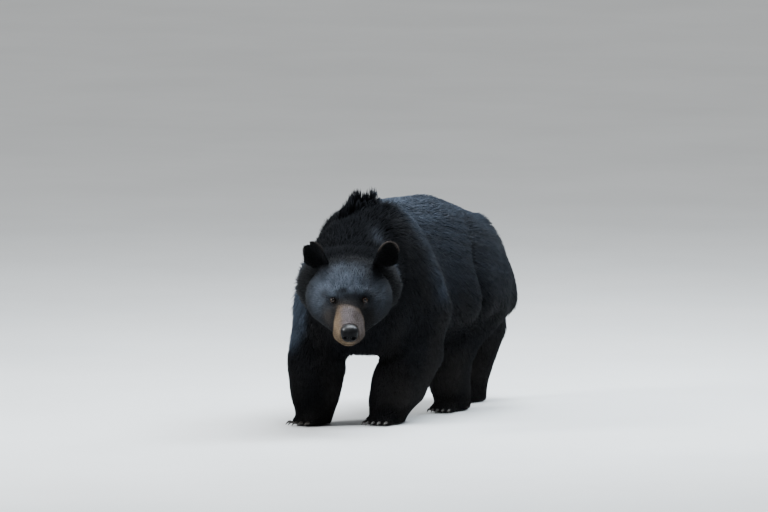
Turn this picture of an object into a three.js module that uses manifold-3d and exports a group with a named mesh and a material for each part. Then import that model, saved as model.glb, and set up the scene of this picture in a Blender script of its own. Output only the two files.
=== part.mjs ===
// A male American black bear, life size, in a slow walk: its head is low and turned to its left front.
// Millimetres, +Z up. The bear faces -Y and its left side is +X. Each solid reaches to the tips of the coat.

import * as THREE from "three";
import { mergeVertices } from "three/addons/utils/BufferGeometryUtils.js";
import Module from "manifold-3d";

const wasm = await Module();
wasm.setup();

// ---------------------------------------------------------------- driving dimensions

const gap = 0.35; // clear space between two neighbouring pieces
const socketGap = 1.5; // clear space round an eyeball
const far = 2000; // reach of a cutting block past the animal

// A station of a body form is [x, y, z, side, up, down, square]: the widest point of the section, its half
// width, its reach above and below that point, and how square it is (2 gives an ellipse).
const trunk = {
  stations: [
    [0, -430, 500, 155, 258, 202, 2.3],
    [0, -330, 500, 212, 350, 228, 2.8],
    [0, -220, 495, 224, 394, 224, 2.8],
    [0, -60, 475, 214, 412, 194, 2.1],
    [0, 90, 460, 236, 425, 172, 1.85],
    [0, 210, 455, 262, 423, 165, 1.8],
    [0, 330, 460, 250, 386, 152, 1.8],
    [0, 440, 455, 212, 334, 135, 1.8],
    [0, 550, 440, 174, 342, 130, 1.62],
    [0, 630, 440, 148, 230, 114, 1.75],
  ],
  sides: 20,
  rings: 10,
  startDome: 70,
  endDome: 75,
};

const neck = {
  stations: [
    [140, -575, 575, 165, 140, 165, 2],
    [95, -490, 590, 178, 170, 190, 2],
    [35, -375, 610, 200, 215, 235, 2],
    [0, -260, 620, 210, 235, 250, 2.1],
  ],
  sides: 12,
  rings: 3,
  startDome: 20,
  endDome: 20,
};

const tail = {
  stations: [
    [0, 650, 632, 44, 36, 34, 2],
    [0, 704, 590, 42, 30, 30, 2],
    [0, 720, 527, 32, 22, 24, 2],
  ],
  sides: 10,
  rings: 4,
  startDome: 20,
  endDome: 26,
};

// The legs run from the shoulder or hip down to the floor, so "up" is to the rear and "down" to the front.
const legs = {
  front_left: {
    stations: [
      [85, -190, 775, 50, 105, 105, 2],
      [130, -190, 700, 82, 145, 150, 2],
      [158, -172, 590, 98, 158, 160, 2.1],
      [170, -105, 455, 98, 160, 160, 2.1],
      [174, -75, 380, 88, 145, 140, 2.1],
      [149, -140, 290, 102, 145, 135, 2.1],
      [133, -188, 220, 105, 164, 118, 2.1],
      [114, -230, 125, 95, 150, 102, 2.1],
      [106, -262, 45, 73, 94, 82, 2.1],
      [109, -267, 0, 64, 84, 80, 2.1],
    ],
    shoulder: { front: -370, rear: 105, middle: 430, top: 775, inner: 60 },
    column: { front: -480, rear: 30, inner: 0 },
    paw: { place: [109, -290], turn: 8, kind: "front" },
  },
  front_right: {
    stations: [
      [-80, -225, 775, 50, 105, 105, 2],
      [-128, -215, 700, 82, 145, 150, 2],
      [-160, -228, 590, 104, 158, 166, 2.1],
      [-174, -268, 470, 109, 155, 171, 2.1],
      [-175, -318, 380, 99, 140, 154, 2.1],
      [-138, -385, 290, 117, 120, 132, 2.1],
      [-122, -425, 220, 116, 115, 127, 2.1],
      [-116, -438, 125, 100, 95, 106, 2.1],
      [-119, -442, 45, 77, 76, 84, 2.1],
      [-120, -444, 0, 62, 70, 76, 2.1],
    ],
    shoulder: { front: -520, rear: -40, middle: 430, top: 775, inner: 60 },
    column: { front: -680, rear: -180, inner: 0 },
    paw: { place: [-120, -460], turn: -8, kind: "front" },
  },
  hind_left: {
    stations: [
      [86, 490, 640, 60, 100, 118, 2],
      [112, 455, 560, 88, 148, 155, 2],
      [128, 395, 460, 92, 168, 160, 2],
      [116, 305, 375, 90, 148, 150, 2],
      [86, 275, 290, 90, 122, 138, 2],
      [62, 272, 200, 82, 112, 124, 2],
      [53, 285, 110, 72, 104, 110, 2],
      [52, 311, 40, 65, 90, 96, 2],
      [52, 313, 0, 62, 84, 92, 2],
    ],
    shoulder: { front: 120, rear: 640, middle: 400, top: 680, inner: 45 },
    column: { front: 90, rear: 463, inner: -60 },
    paw: { place: [52, 284], turn: 10, kind: "hind" },
  },
  hind_right: {
    stations: [
      [-86, 510, 640, 60, 100, 118, 2],
      [-110, 524, 560, 92, 154, 155, 2],
      [-108, 572, 460, 108, 172, 165, 2],
      [-68, 652, 375, 124, 165, 160, 2],
      [-64, 690, 290, 105, 117, 128, 2],
      [-66, 674, 200, 78, 94, 94, 2],
      [-70, 648, 110, 60, 78, 76, 2],
      [-70, 632, 40, 60, 78, 80, 2],
      [-70, 630, 0, 58, 74, 80, 2],
    ],
    shoulder: { front: 370, rear: 830, middle: 400, top: 680, inner: 45 },
    column: { front: 464, rear: 900, inner: -60 },
    paw: { place: [-70, 600], turn: -10, kind: "hind" },
  },
};
const columnTop = 278; // where the free part of a leg begins, below the belly
const archDrop = 10; // the arch at the shoulder or hip reaches this far below the column's top
const kneeHeight = 262;
const ankleHeight = 90;

const clawClearance = 1.35; // between a toe's tip and the root of its claw
const pawKinds = {
  front: { halfWidth: 62, length: 150, height: 72, toe: [15, 27, 21], spread: 24, arc: 4.5, claw: 33 },
  hind: { halfWidth: 56, length: 215, height: 64, toe: [14, 25, 19], spread: 22, arc: 4, claw: 26 },
};

// Hair that stands up on the withers: [x, y, top, lean to the rear].
const crest = [
  [-40, -318, 905, -14],
  [-24, -293, 944, -8],
  [-13, -258, 924, 0],
  [0, -222, 942, 8],
  [8, -192, 930, 12],
];
const crestFoot = 30;

// The head has a frame of its own: it looks along -Y, then it is pitched down, turned and put in its place.
const headPlace = new THREE.Matrix4()
  .makeTranslation(184, -658, 547)
  .multiply(new THREE.Matrix4().makeRotationZ(THREE.MathUtils.degToRad(33)))
  .multiply(new THREE.Matrix4().makeRotationX(THREE.MathUtils.degToRad(32)));

const skull = {
  stations: [
    [0, -184, -50, 46, 38, 52, 2.4],
    [0, -150, -52, 61, 60, 68, 2.5],
    [0, -112, -55, 72, 88, 78, 2.4],
    [0, -80, -45, 104, 110, 97, 2.2],
    [0, -45, -35, 142, 133, 117, 2.1],
    [0, 0, -25, 168, 155, 137, 2.1],
    [0, 55, -28, 187, 173, 140, 2.15],
    [0, 120, -38, 200, 173, 132, 2.2],
    [0, 185, -38, 188, 143, 122, 2.2],
  ],
  sides: 20,
  rings: 9,
  startDome: 18,
  endDome: 30,
};
const muzzleStart = -114; // the muzzle is in front of this, in the head's frame
const mouthLine = -86; // the jaw lies below this
const jawStart = -30;
const jawHalfWidth = 70;
const headEnd = 120; // the neck begins behind this

const nose = { place: [0, -188, -41], radii: [35, 26, 35], square: 2.5 };
const eye = { place: [64, -77, 40], radius: 12.5, orbit: [24, 20, 17] };
const ear = {
  place: { left: [146, 72, 153], right: [134, 72, 152] }, // middle of each ear; the left one is held wider
  outer: [52, 19, 67],
  cup: [42, 15, 55],
  cupShift: -12, // the cup opens to the front
  splay: 14, // degrees outwards from upright
  turn: 18, // degrees outwards from straight ahead
  notch: { place: [-33, 0, 67], radii: [19, 40, 22] }, // an old tear in the right ear
};

const colours = {
  coat: new THREE.MeshStandardMaterial({ color: "#1d1e22", roughness: 0.72, metalness: 0 }),
  muzzleCoat: new THREE.MeshStandardMaterial({ color: "#85664d", roughness: 0.75, metalness: 0 }),
  nose: new THREE.MeshStandardMaterial({ color: "#141416", roughness: 0.35, metalness: 0 }),
  eye: new THREE.MeshStandardMaterial({ color: "#3a2416", roughness: 0.08, metalness: 0 }),
  claw: new THREE.MeshStandardMaterial({ color: "#2a2622", roughness: 0.4, metalness: 0 }),
};

// ---------------------------------------------------------------- making solids

// A closed tube through stations. Sections stand across the path, level with the X axis, and both ends are domed.
function loft({ stations, sides, rings, startDome, endDome, domeSteps = 2, grow = 0 }) {
  const smooth = (columns) =>
    new THREE.CatmullRomCurve3(
      stations.map((station) => new THREE.Vector3(...columns.map((column) => station[column] ?? 0))),
      false,
      "catmullrom",
      0.5,
    );
  const middles = smooth([0, 1, 2]);
  const reaches = smooth([3, 4, 5]);
  const squares = smooth([6, 7, 8]);

  const places = [];
  for (let step = domeSteps; step > 0; step -= 1) places.push({ t: 0, lift: -startDome, dome: step / domeSteps });
  for (let ring = 0; ring <= rings; ring += 1) places.push({ t: ring / rings, lift: 0, dome: 0 });
  for (let step = 1; step <= domeSteps; step += 1) places.push({ t: 1, lift: endDome, dome: step / domeSteps });

  const positions = [];
  for (const { t, lift, dome } of places) {
    const along = middles.getTangent(t);
    const side = new THREE.Vector3(1, 0, 0).addScaledVector(along, -along.x).normalize();
    const up = new THREE.Vector3().crossVectors(side, along);
    const reach = reaches.getPoint(t);
    const square = squares.getPoint(t).x;
    const shrink = Math.cos((dome * Math.PI) / 2);
    const outward = (lift + Math.sign(lift) * grow) * Math.sin((dome * Math.PI) / 2);
    const middle = middles.getPoint(t).addScaledVector(along, outward);
    if (dome === 1) {
      positions.push(middle);
      continue;
    }
    for (let corner = 0; corner < sides; corner += 1) {
      const angle = (2 * Math.PI * corner) / sides;
      const across = bend(Math.cos(angle), square) * (reach.x + grow) * shrink;
      const above = bend(Math.sin(angle), square) * ((Math.sin(angle) > 0 ? reach.y : reach.z) + grow) * shrink;
      positions.push(middle.clone().addScaledVector(side, across).addScaledVector(up, above));
    }
  }

  const indices = [];
  const last = positions.length - 1;
  const ringCount = places.length - 2;
  const at = (ring, corner) => 1 + ring * sides + (corner % sides);
  for (let corner = 0; corner < sides; corner += 1) {
    indices.push(0, at(0, corner), at(0, corner + 1));
    for (let ring = 0; ring < ringCount - 1; ring += 1) {
      const [a, b] = [at(ring, corner), at(ring, corner + 1)];
      const [c, d] = [at(ring + 1, corner + 1), at(ring + 1, corner)];
      indices.push(a, d, c, a, c, b);
    }
    indices.push(last, at(ringCount - 1, corner + 1), at(ringCount - 1, corner));
  }
  return new THREE.BufferGeometry().setFromPoints(positions).setIndex(indices);
}

function bend(value, square) {
  return Math.sign(value) * Math.abs(value) ** (2 / square);
}

function solidOf(geometry) {
  const plain = geometry.clone();
  plain.deleteAttribute("normal");
  plain.deleteAttribute("uv");
  const merged = mergeVertices(plain, 1e-4);
  return new wasm.Manifold(
    new wasm.Mesh({
      numProp: 3,
      vertProperties: new Float32Array(merged.attributes.position.array),
      triVerts: new Uint32Array(merged.index.array),
    }),
  );
}

// A ball with a radius for each axis. Its poles lie on the Y axis.
function ball(radii, place, grow, widthSteps, heightSteps) {
  const geometry = new THREE.SphereGeometry(1, widthSteps, heightSteps);
  geometry.scale(...radii.map((radius) => radius + grow));
  return geometry.translate(...place);
}

// A block between two corners.
function block(low, high) {
  const size = high.map((value, axis) => value - low[axis]);
  const middle = high.map((value, axis) => (value + low[axis]) / 2);
  return new THREE.BoxGeometry(...size).translate(...middle);
}

function join(solids) {
  return solids.reduce((whole, solid) => whole.add(solid));
}

// Parts a solid at a plane: both sides are kept, with the gap between them.
function part(solid, point, normal) {
  const facing = new THREE.Quaternion().setFromUnitVectors(
    new THREE.Vector3(0, 0, 1),
    new THREE.Vector3(...normal).normalize(),
  );
  const half = (low, high) =>
    solidOf(block([-far, -far, low], [far, far, high]).applyQuaternion(facing).translate(...point));
  return [solid.intersect(half(gap / 2, far)), solid.intersect(half(-far, -gap / 2))];
}

// The largest body of a solid that cutting may have left with loose crumbs.
function largest(solid) {
  return solid.decompose().reduce((best, body) => (body.volume() > best.volume() ? body : best));
}

// ---------------------------------------------------------------- the paws

// Each paw has five toes on an arc. A claw stands on the tip of each toe and curves down to just above the floor.
function makePaw({ place, turn, kind }) {
  const { halfWidth, length, height, toe, spread, arc, claw } = pawKinds[kind];
  const put = (geometry) =>
    geometry.rotateZ(THREE.MathUtils.degToRad(turn)).translate(place[0], place[1], 0);
  const front = -length / 2;
  const body = loft({
    stations: [
      [0, front + 25, 14, halfWidth * 0.92, height * 0.5, 30, 2.3],
      [0, front + 65, 16, halfWidth, height * 0.72, 30, 2.3],
      [0, -front - 55, 18, halfWidth * 0.9, height * 0.78, 30, 2.3],
      [0, -front - 28, 18, halfWidth * 0.74, height * 0.62, 30, 2.2],
    ],
    sides: 8,
    rings: 2,
    startDome: 24,
    endDome: 26,
    domeSteps: 1,
  });
  const forms = [solidOf(put(body))];
  const claws = [];
  for (const finger of [-2, -1, 0, 1, 2]) {
    const x = finger * spread;
    const y = front + 12 + arc * finger * finger;
    const toeMiddle = toe[2] * 0.8;
    forms.push(solidOf(put(ball(toe, [x, y, toeMiddle], 0, 7, 4))));
    const root = y - toe[1] - clawClearance;
    claws.push(
      solidOf(
        put(
          loft({
            stations: [
              [x, root - claw, toeMiddle - 10, 1.2, 1.6, 1.6, 2],
              [x, root - claw * 0.75, toeMiddle - 2, 3, 4, 4, 2],
              [x, root - claw * 0.35, toeMiddle + 3, 4.2, 5.8, 5.8, 2],
              [x, root, toeMiddle, 5, 7, 7, 2],
            ],
            sides: 6,
            rings: 2,
            startDome: 1,
            endDome: 1,
            domeSteps: 1,
          }),
        ),
      ),
    );
  }
  return { body: join(forms), claws };
}

// ---------------------------------------------------------------- the whole animal in one piece

const paws = Object.fromEntries(Object.entries(legs).map(([leg, { paw }]) => [leg, makePaw(paw)]));

const crestHair = crest.map(([x, y, top, lean]) =>
  solidOf(
    loft({
      stations: [
        [x, y - lean, 850, crestFoot, crestFoot, crestFoot, 2],
        [x, y, (850 + top) / 2 + 12, crestFoot * 0.62, crestFoot * 0.62, crestFoot * 0.62, 2],
        [x, y + lean * 0.6, top - 6, 7, 7, 7, 2],
      ],
      sides: 5,
      rings: 2,
      startDome: 4,
      endDome: 6,
      domeSteps: 1,
    }),
  ),
);

const floor = solidOf(block([-far, -far, -far], [far, far, 0]));
const skullForm = solidOf(loft(skull).applyMatrix4(headPlace));

let flesh = join([
  solidOf(loft(trunk)),
  solidOf(loft(neck)),
  skullForm,
  solidOf(loft(tail)),
  ...crestHair,
  ...Object.values(legs).map(({ stations }) =>
    solidOf(loft({ stations, sides: 12, rings: 8, startDome: 20, endDome: 10, domeSteps: 1 })),
  ),
  ...Object.values(paws).map(({ body }) => body),
]).subtract(floor);

// ---------------------------------------------------------------- dividing it

const pieces = []; // [name, solid, material]

// The region of one leg: an arch at the shoulder or hip, and the free column below the belly.
function legRegion(leg, grow) {
  const { shoulder, column, paw } = legs[leg];
  const outwards = Math.sign(paw.place[0]);
  const halfSpan = (shoulder.rear - shoulder.front) / 2 + grow;
  const centre = (shoulder.rear + shoulder.front) / 2;
  const outline = new THREE.Shape();
  outline.moveTo(centre + halfSpan, columnTop - archDrop - grow);
  outline.lineTo(centre + halfSpan, shoulder.middle);
  outline.absellipse(centre, shoulder.middle, halfSpan, shoulder.top - shoulder.middle + grow, 0, Math.PI);
  outline.lineTo(centre - halfSpan, columnTop - archDrop - grow);
  const arch = new THREE.ExtrudeGeometry(outline, { depth: 500, bevelEnabled: false, curveSegments: 8 })
    .rotateX(Math.PI / 2)
    .rotateZ(Math.PI / 2)
    .translate(outwards > 0 ? shoulder.inner - grow : -shoulder.inner - 500 + grow, 0, 0);
  const reach = [outwards * (column.inner - grow), outwards * 500].sort((a, b) => a - b);
  const free = block([reach[0], column.front - grow, -10], [reach[1], column.rear + grow, columnTop + grow]);
  return solidOf(arch).add(solidOf(free));
}

for (const leg of Object.keys(legs)) {
  const whole = largest(flesh.intersect(legRegion(leg, 0)));
  flesh = flesh.subtract(legRegion(leg, gap));
  const [upper, rest] = part(whole, [0, 0, kneeHeight], [0, 0, 1]);
  const [lower, paw] = part(rest, [0, 0, ankleHeight], [0, 0, 1]);
  paws[leg].claws.forEach((claw, number) => pieces.push([`claw_${leg}_${number + 1}`, claw, colours.claw]));
  pieces.push([`leg_${leg}_upper`, upper, colours.coat]);
  pieces.push([`leg_${leg}_lower`, lower, colours.coat]);
  pieces.push([`paw_${leg}`, paw, colours.coat]);
}

const [beforeBelly, fromBelly] = part(flesh, [0, 40, 0], [0, -1, 0]);
const [belly, rumpAndTail] = part(fromBelly, [0, 370, 0], [0, -1, 0]);
const tailRegion = (grow) => solidOf(block([-70, 690 - grow, 487 - grow], [70, 900, 712]));
const tailPiece = rumpAndTail.intersect(tailRegion(0));
const rump = rumpAndTail.subtract(tailRegion(gap));
const [neckAndHead, chest] = part(beforeBelly, [0, -335, 870], [0, -0.949, 0.316]);
pieces.push(["trunk_chest", chest, colours.coat]);
pieces.push(["trunk_belly", belly, colours.coat]);
pieces.push(["trunk_rump", rump, colours.coat]);
pieces.push(["tail", tailPiece, colours.coat]);

// Cuts in the head's own frame.
const inHead = (geometry) => solidOf(geometry.applyMatrix4(headPlace));
const headward = new THREE.Vector3(0, -1, 0).transformDirection(headPlace);
const headCut = new THREE.Vector3(0, headEnd, 0).applyMatrix4(headPlace);
const [headAndFace, neckSolid] = part(neckAndHead, headCut.toArray(), headward.toArray());
pieces.push(["neck", neckSolid, colours.coat]);

const headSides = { left: 1, right: -1 };
let headSolid = headAndFace;

for (const [name, sign] of Object.entries(headSides)) {
  const [x, y, z] = eye.place;
  const centre = [sign * x, y, z];
  headSolid = headSolid.subtract(inHead(ball(eye.orbit, [sign * (x + 6), y - 14, z + 6], 0, 8, 5)));
  const radii = [eye.radius, eye.radius, eye.radius];
  headSolid = headSolid.subtract(inHead(ball(radii, centre, socketGap, 8, 6)));
  pieces.push([`eye_${name}`, inHead(ball(radii, centre, 0, 10, 7)), colours.eye]);
}

function makeEar(name, grow) {
  const sign = headSides[name];
  const put = (geometry) =>
    geometry
      .rotateZ(THREE.MathUtils.degToRad(sign * ear.turn))
      .rotateY(THREE.MathUtils.degToRad(sign * ear.splay))
      .translate(sign * ear.place[name][0], ear.place[name][1], ear.place[name][2]);
  const shell = inHead(put(ball(ear.outer, [0, 0, 0], grow, 12, 6)));
  const cup = inHead(put(ball(ear.cup, [0, ear.cupShift, 6], -grow, 10, 5)));
  const whole = shell.subtract(cup);
  return sign > 0 ? whole : whole.subtract(inHead(put(ball(ear.notch.radii, ear.notch.place, -grow, 6, 4))));
}

for (const name of Object.keys(headSides)) {
  headSolid = headSolid.subtract(makeEar(name, gap));
  pieces.push([`ear_${name}`, makeEar(name, 0), colours.coat]);
}

function makeNose(grow) {
  const [x, y, z] = nose.place;
  const [wide, deep, high] = nose.radii;
  return inHead(
    loft({
      stations: [
        [x, y - deep * 0.45, z, wide * 0.8, high * 0.72, high * 0.8, nose.square],
        [x, y, z, wide, high, high * 0.95, nose.square],
        [x, y + deep * 0.6, z, wide * 0.85, high * 0.95, high * 0.8, nose.square],
      ],
      sides: 12,
      rings: 2,
      startDome: deep * 0.5,
      endDome: deep * 0.3,
      grow,
    }),
  );
}

const jawRegion = (grow) =>
  inHead(block([-jawHalfWidth - grow, -far, -far], [jawHalfWidth + grow, jawStart + grow, mouthLine + grow]));
const muzzleRegion = inHead(block([-far, -far, -far], [far, muzzleStart, far]));
const behindMuzzle = inHead(block([-far, muzzleStart + gap, -far], [far, far, far]));
const withoutNose = headSolid.subtract(makeNose(gap));
const aboveMouth = withoutNose.subtract(jawRegion(gap));
pieces.push(["nose", makeNose(0), colours.nose]);
pieces.push(["jaw", withoutNose.intersect(jawRegion(0)), colours.muzzleCoat]);
pieces.push(["muzzle", aboveMouth.intersect(muzzleRegion), colours.muzzleCoat]);
pieces.push(["head", aboveMouth.intersect(behindMuzzle), colours.coat]);

// ---------------------------------------------------------------- the scene graph

// A mesh of a solid, with its own middle as its position.
function meshOf(name, solid, material) {
  const { numProp, vertProperties, triVerts } = solid.getMesh();
  const geometry = new THREE.BufferGeometry();
  const xyz = new Float32Array((vertProperties.length / numProp) * 3);
  for (let vertex = 0; vertex < xyz.length / 3; vertex += 1) {
    for (let axis = 0; axis < 3; axis += 1) xyz[vertex * 3 + axis] = vertProperties[vertex * numProp + axis];
  }
  geometry.setAttribute("position", new THREE.BufferAttribute(xyz, 3));
  geometry.setIndex(new THREE.BufferAttribute(new Uint32Array(triVerts), 1));
  geometry.computeBoundingBox();
  const middle = geometry.boundingBox.getCenter(new THREE.Vector3()).round();
  geometry.translate(-middle.x, -middle.y, -middle.z);
  geometry.computeVertexNormals();
  const mesh = new THREE.Mesh(geometry, material.clone());
  mesh.name = name;
  mesh.position.copy(middle);
  return mesh;
}

const bear = new THREE.Group();
for (const [name, solid, material] of pieces) bear.add(meshOf(name, largest(solid), material));

// The origin is on the floor, under the middle of the animal.
const box = new THREE.Box3().setFromObject(bear);
const middle = box.getCenter(new THREE.Vector3());
bear.position.set(-middle.x, -middle.y, -box.min.z);

export default bear;
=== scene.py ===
import math

import bpy
import bmesh
import numpy as np
from mathutils import Matrix, Vector


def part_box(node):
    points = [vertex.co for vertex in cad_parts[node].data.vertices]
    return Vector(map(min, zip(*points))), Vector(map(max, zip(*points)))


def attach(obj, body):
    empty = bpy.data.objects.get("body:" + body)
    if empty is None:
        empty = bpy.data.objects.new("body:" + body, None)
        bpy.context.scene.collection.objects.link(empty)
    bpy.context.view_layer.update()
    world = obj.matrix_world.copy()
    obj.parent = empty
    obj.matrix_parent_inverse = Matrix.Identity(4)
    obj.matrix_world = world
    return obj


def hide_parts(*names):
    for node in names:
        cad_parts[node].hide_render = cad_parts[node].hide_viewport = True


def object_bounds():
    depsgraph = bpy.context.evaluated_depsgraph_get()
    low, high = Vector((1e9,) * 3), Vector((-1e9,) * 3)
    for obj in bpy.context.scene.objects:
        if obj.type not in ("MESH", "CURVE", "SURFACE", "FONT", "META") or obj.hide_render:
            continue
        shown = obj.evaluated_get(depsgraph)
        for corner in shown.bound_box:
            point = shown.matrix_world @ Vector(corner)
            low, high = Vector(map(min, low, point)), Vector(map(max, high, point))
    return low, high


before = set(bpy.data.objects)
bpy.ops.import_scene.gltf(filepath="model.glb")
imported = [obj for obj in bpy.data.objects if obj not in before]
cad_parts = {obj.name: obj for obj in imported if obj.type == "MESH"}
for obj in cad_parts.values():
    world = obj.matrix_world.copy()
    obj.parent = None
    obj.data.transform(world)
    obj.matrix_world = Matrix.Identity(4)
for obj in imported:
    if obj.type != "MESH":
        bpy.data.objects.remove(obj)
cadLow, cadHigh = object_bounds()

# A black bear in a slow walk: one skin with markings and painted sheen and shade, a coat of tufts over it,
# eyes, lids, nose and claws.

# Camera, floor and light.

def addObject(name, data):
    added = bpy.data.objects.new(name, data)
    bpy.context.scene.collection.objects.link(added)
    return added


def turnAlong(thing, direction):
    thing.rotation_mode = "QUATERNION"
    thing.rotation_quaternion = direction.to_track_quat("-Z", "Y")


viewSettings = {
    "azimuth": 33.0, "elevation": 5.5, "distance": 60.0, "lens": 703.2,
    "aimSide": -0.0656, "aimUp": 0.6416,  # metres across and up from the body's origin on the floor
}


def makeCamera():
    turn, lift = math.radians(viewSettings["azimuth"]), math.radians(viewSettings["elevation"])
    ahead = Vector((-math.sin(turn) * math.cos(lift), math.cos(turn) * math.cos(lift), -math.sin(lift)))
    side = Vector((math.cos(turn), math.sin(turn), 0))
    up = side.cross(ahead)
    aim = Vector(bodyOrigin) + side * viewSettings["aimSide"] + up * viewSettings["aimUp"]
    data = bpy.data.cameras.new("camera")
    data.lens, data.sensor_width, data.clip_end = viewSettings["lens"], 36, 300
    camera = addObject("camera", data)
    camera.location = aim - ahead * viewSettings["distance"]
    turnAlong(camera, ahead)
    bpy.context.scene.camera = camera


lightSettings = {
    # name: place, aim, width, power, colour
    "skyPanel": ((0.6, 0.5, 4.4), (0, 0.1, 0.5), 3.0, 420, (0.84, 0.92, 1.0)),
    "frontPanel": ((-2.9, -4.3, 3.0), (0.1, -0.6, 0.6), 1.6, 420, (0.92, 0.96, 1.0)),
    "leftPanel": ((2.4, 2.8, 4.9), (0.1, 0.1, 0.6), 2.2, 385, (0.82, 0.91, 1.0)),
    "backPanel": ((-2.6, 4.6, 4.4), (0, 0, 0.6), 2.6, 60, (0.92, 0.96, 1.0)),
}
daylight = {
    "strength": 1.7, "spread": 80.0, "lean": (16.0, -18.0),  # spread and lean in degrees
    "world": 0.20, "worldColour": (0.86, 0.90, 0.96, 1),
}


def makeLights():
    for name, (place, aim, width, power, colour) in lightSettings.items():
        data = bpy.data.lights.new(name, "AREA")
        data.shape, data.size, data.energy, data.color = "DISK", width, power, colour
        light = addObject(name, data)
        light.location = place
        turnAlong(light, Vector(aim) - Vector(place))
        light.visible_camera = False
    data = bpy.data.lights.new("daylight", "SUN")  # soft and even from above, over the whole floor
    data.energy, data.angle = daylight["strength"], math.radians(daylight["spread"])
    light = addObject("daylight", data)
    light.rotation_euler = [math.radians(turn) for turn in daylight["lean"]] + [0]
    world = bpy.data.worlds.new("softDay")
    world.use_nodes = True
    back = world.node_tree.nodes["Background"]
    back.inputs["Color"].default_value = daylight["worldColour"]
    back.inputs["Strength"].default_value = daylight["world"]
    bpy.context.scene.world = world


# Small tools.

weldDistance = 1e-6  # metres


def asRange(value, start, end):
    # 0 at start, 1 at end, with an even ease between them
    share = np.clip((value - start) / (end - start), 0, 1)
    return share * share * (3 - 2 * share)


def unit(vectors):
    return vectors / np.maximum(np.linalg.norm(vectors, axis=-1, keepdims=True), 1e-9)


def smoothCurve(at, places, values):
    # cubic Hermite curve through (places, values), with slopes from the neighbours on both sides
    places, values = np.asarray(places, float), np.asarray(values, float)
    slopes = np.gradient(values, places, axis=0)
    index = np.clip(np.searchsorted(places, at, side="right") - 1, 0, len(places) - 2)
    width = places[index + 1] - places[index]
    t = np.clip((at - places[index]) / width, 0, 1)
    shape = (-1,) + (1,) * (values.ndim - 1)
    t, width = t.reshape(shape), width.reshape(shape)
    return ((2 * t**3 - 3 * t**2 + 1) * values[index] + (t**3 - 2 * t**2 + t) * width * slopes[index]
            + (3 * t**2 - 2 * t**3) * values[index + 1] + (t**3 - t**2) * width * slopes[index + 1])


def lineDistance(points, line):
    # shortest distance from each point to a path of straight stretches
    line = np.asarray(line, float)
    best = np.full(len(points), 1e9)
    for start, end in zip(line[:-1], line[1:]):
        along = end - start
        t = np.clip((points - start) @ along / (along @ along), 0, 1)
        best = np.minimum(best, np.linalg.norm(points - start - t[:, None] * along, axis=1))
    return best


def ripple(points, size, seed):
    # slow, smooth unevenness from -1 to 1: three waves in different directions
    waves = np.random.default_rng(seed).normal(size=(3, 3))
    waves = unit(waves) * (2 * math.pi / size)
    phases = np.random.default_rng(seed + 1).uniform(0, 2 * math.pi, 3)
    return np.sin(points @ waves.T + phases + 0.8 * np.sin(points @ waves[[1, 2, 0]].T * 0.6)).mean(1)


def makeMesh(name, points, faces):
    mesh = bpy.data.meshes.new(name)
    mesh.from_pydata(np.asarray(points).tolist(), [], faces if isinstance(faces, list) else faces.tolist())
    mesh.update()
    return mesh


def gridFaces(rows, columns):
    # quads of a grid of closed rows, plus fans to a pole before the first row and after the last
    row, column = np.meshgrid(np.arange(rows - 1), np.arange(columns), indexing="ij")
    after = (column + 1) % columns
    quads = np.stack([row * columns + column, row * columns + after,
                      (row + 1) * columns + after, (row + 1) * columns + column], -1).reshape(-1, 4)
    around = np.arange(columns)
    first, last = rows * columns, rows * columns + 1
    top = np.stack([np.full(columns, first), (around + 1) % columns, around], -1)
    end = (rows - 1) * columns
    bottom = np.stack([np.full(columns, last), end + around, end + (around + 1) % columns], -1)
    return quads.tolist() + top.tolist() + bottom.tolist()


def closedGrid(grid, firstPole, lastPole):
    points = np.vstack([grid.reshape(-1, 3), firstPole, lastPole])
    return points, gridFaces(*grid.shape[:2])


def readPoints(mesh):
    points = np.empty(len(mesh.vertices) * 3, np.float32)
    mesh.vertices.foreach_get("co", points)
    return points.reshape(-1, 3).astype(float)


def readNormals(mesh):
    normals = np.empty(len(mesh.vertices) * 3, np.float32)
    mesh.vertex_normals.foreach_get("vector", normals)
    return normals.reshape(-1, 3).astype(float)


def writePoints(mesh, points):
    mesh.vertices.foreach_set("co", points.astype(np.float32).ravel())
    mesh.update()


def joinMeshes(name, meshes, weld=0):
    # several meshes as one, with points closer than weld merged
    form = bmesh.new()
    for mesh in meshes:
        form.from_mesh(mesh)
    if weld:
        bmesh.ops.remove_doubles(form, verts=form.verts, dist=weld)
    joined = bpy.data.meshes.new(name)
    form.to_mesh(joined)
    form.free()
    return joined


def addColours(mesh, name, rgba):
    mesh.attributes.new(name, "FLOAT_COLOR", "POINT").data.foreach_set("color", rgba.ravel())


def addShares(mesh, name, shares):
    mesh.attributes.new(name, "FLOAT", "POINT").data.foreach_set("value", shares.astype(np.float32))


def outwards(mesh):
    # faces of a closed form turned to point out
    work = bmesh.new()
    work.from_mesh(mesh)
    bmesh.ops.recalc_face_normals(work, faces=work.faces)
    work.to_mesh(mesh)
    work.free()
    mesh.update()
    return mesh


def addPiece(name, mesh, material, replaced=()):
    mesh.name = name
    if material:
        mesh.materials.append(material)
    mesh.shade_smooth()
    piece = addObject(name, mesh)
    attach(piece, "root")
    if replaced:
        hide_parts(*replaced)
    return piece


# The head's own frame: millimetres, looking along -Y, pitched down and turned.

headPose = {
    "yaw": 33.0, "pitch": 32.0, "eyeForward": -77.0, "eyeUp": 40.0,
    "fromBody": (0.184, -0.658, 0.547),  # metres from the body's origin
}


def boxMiddle(node):
    low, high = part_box(node)
    return (np.array(low) + np.array(high)) / 2


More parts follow.
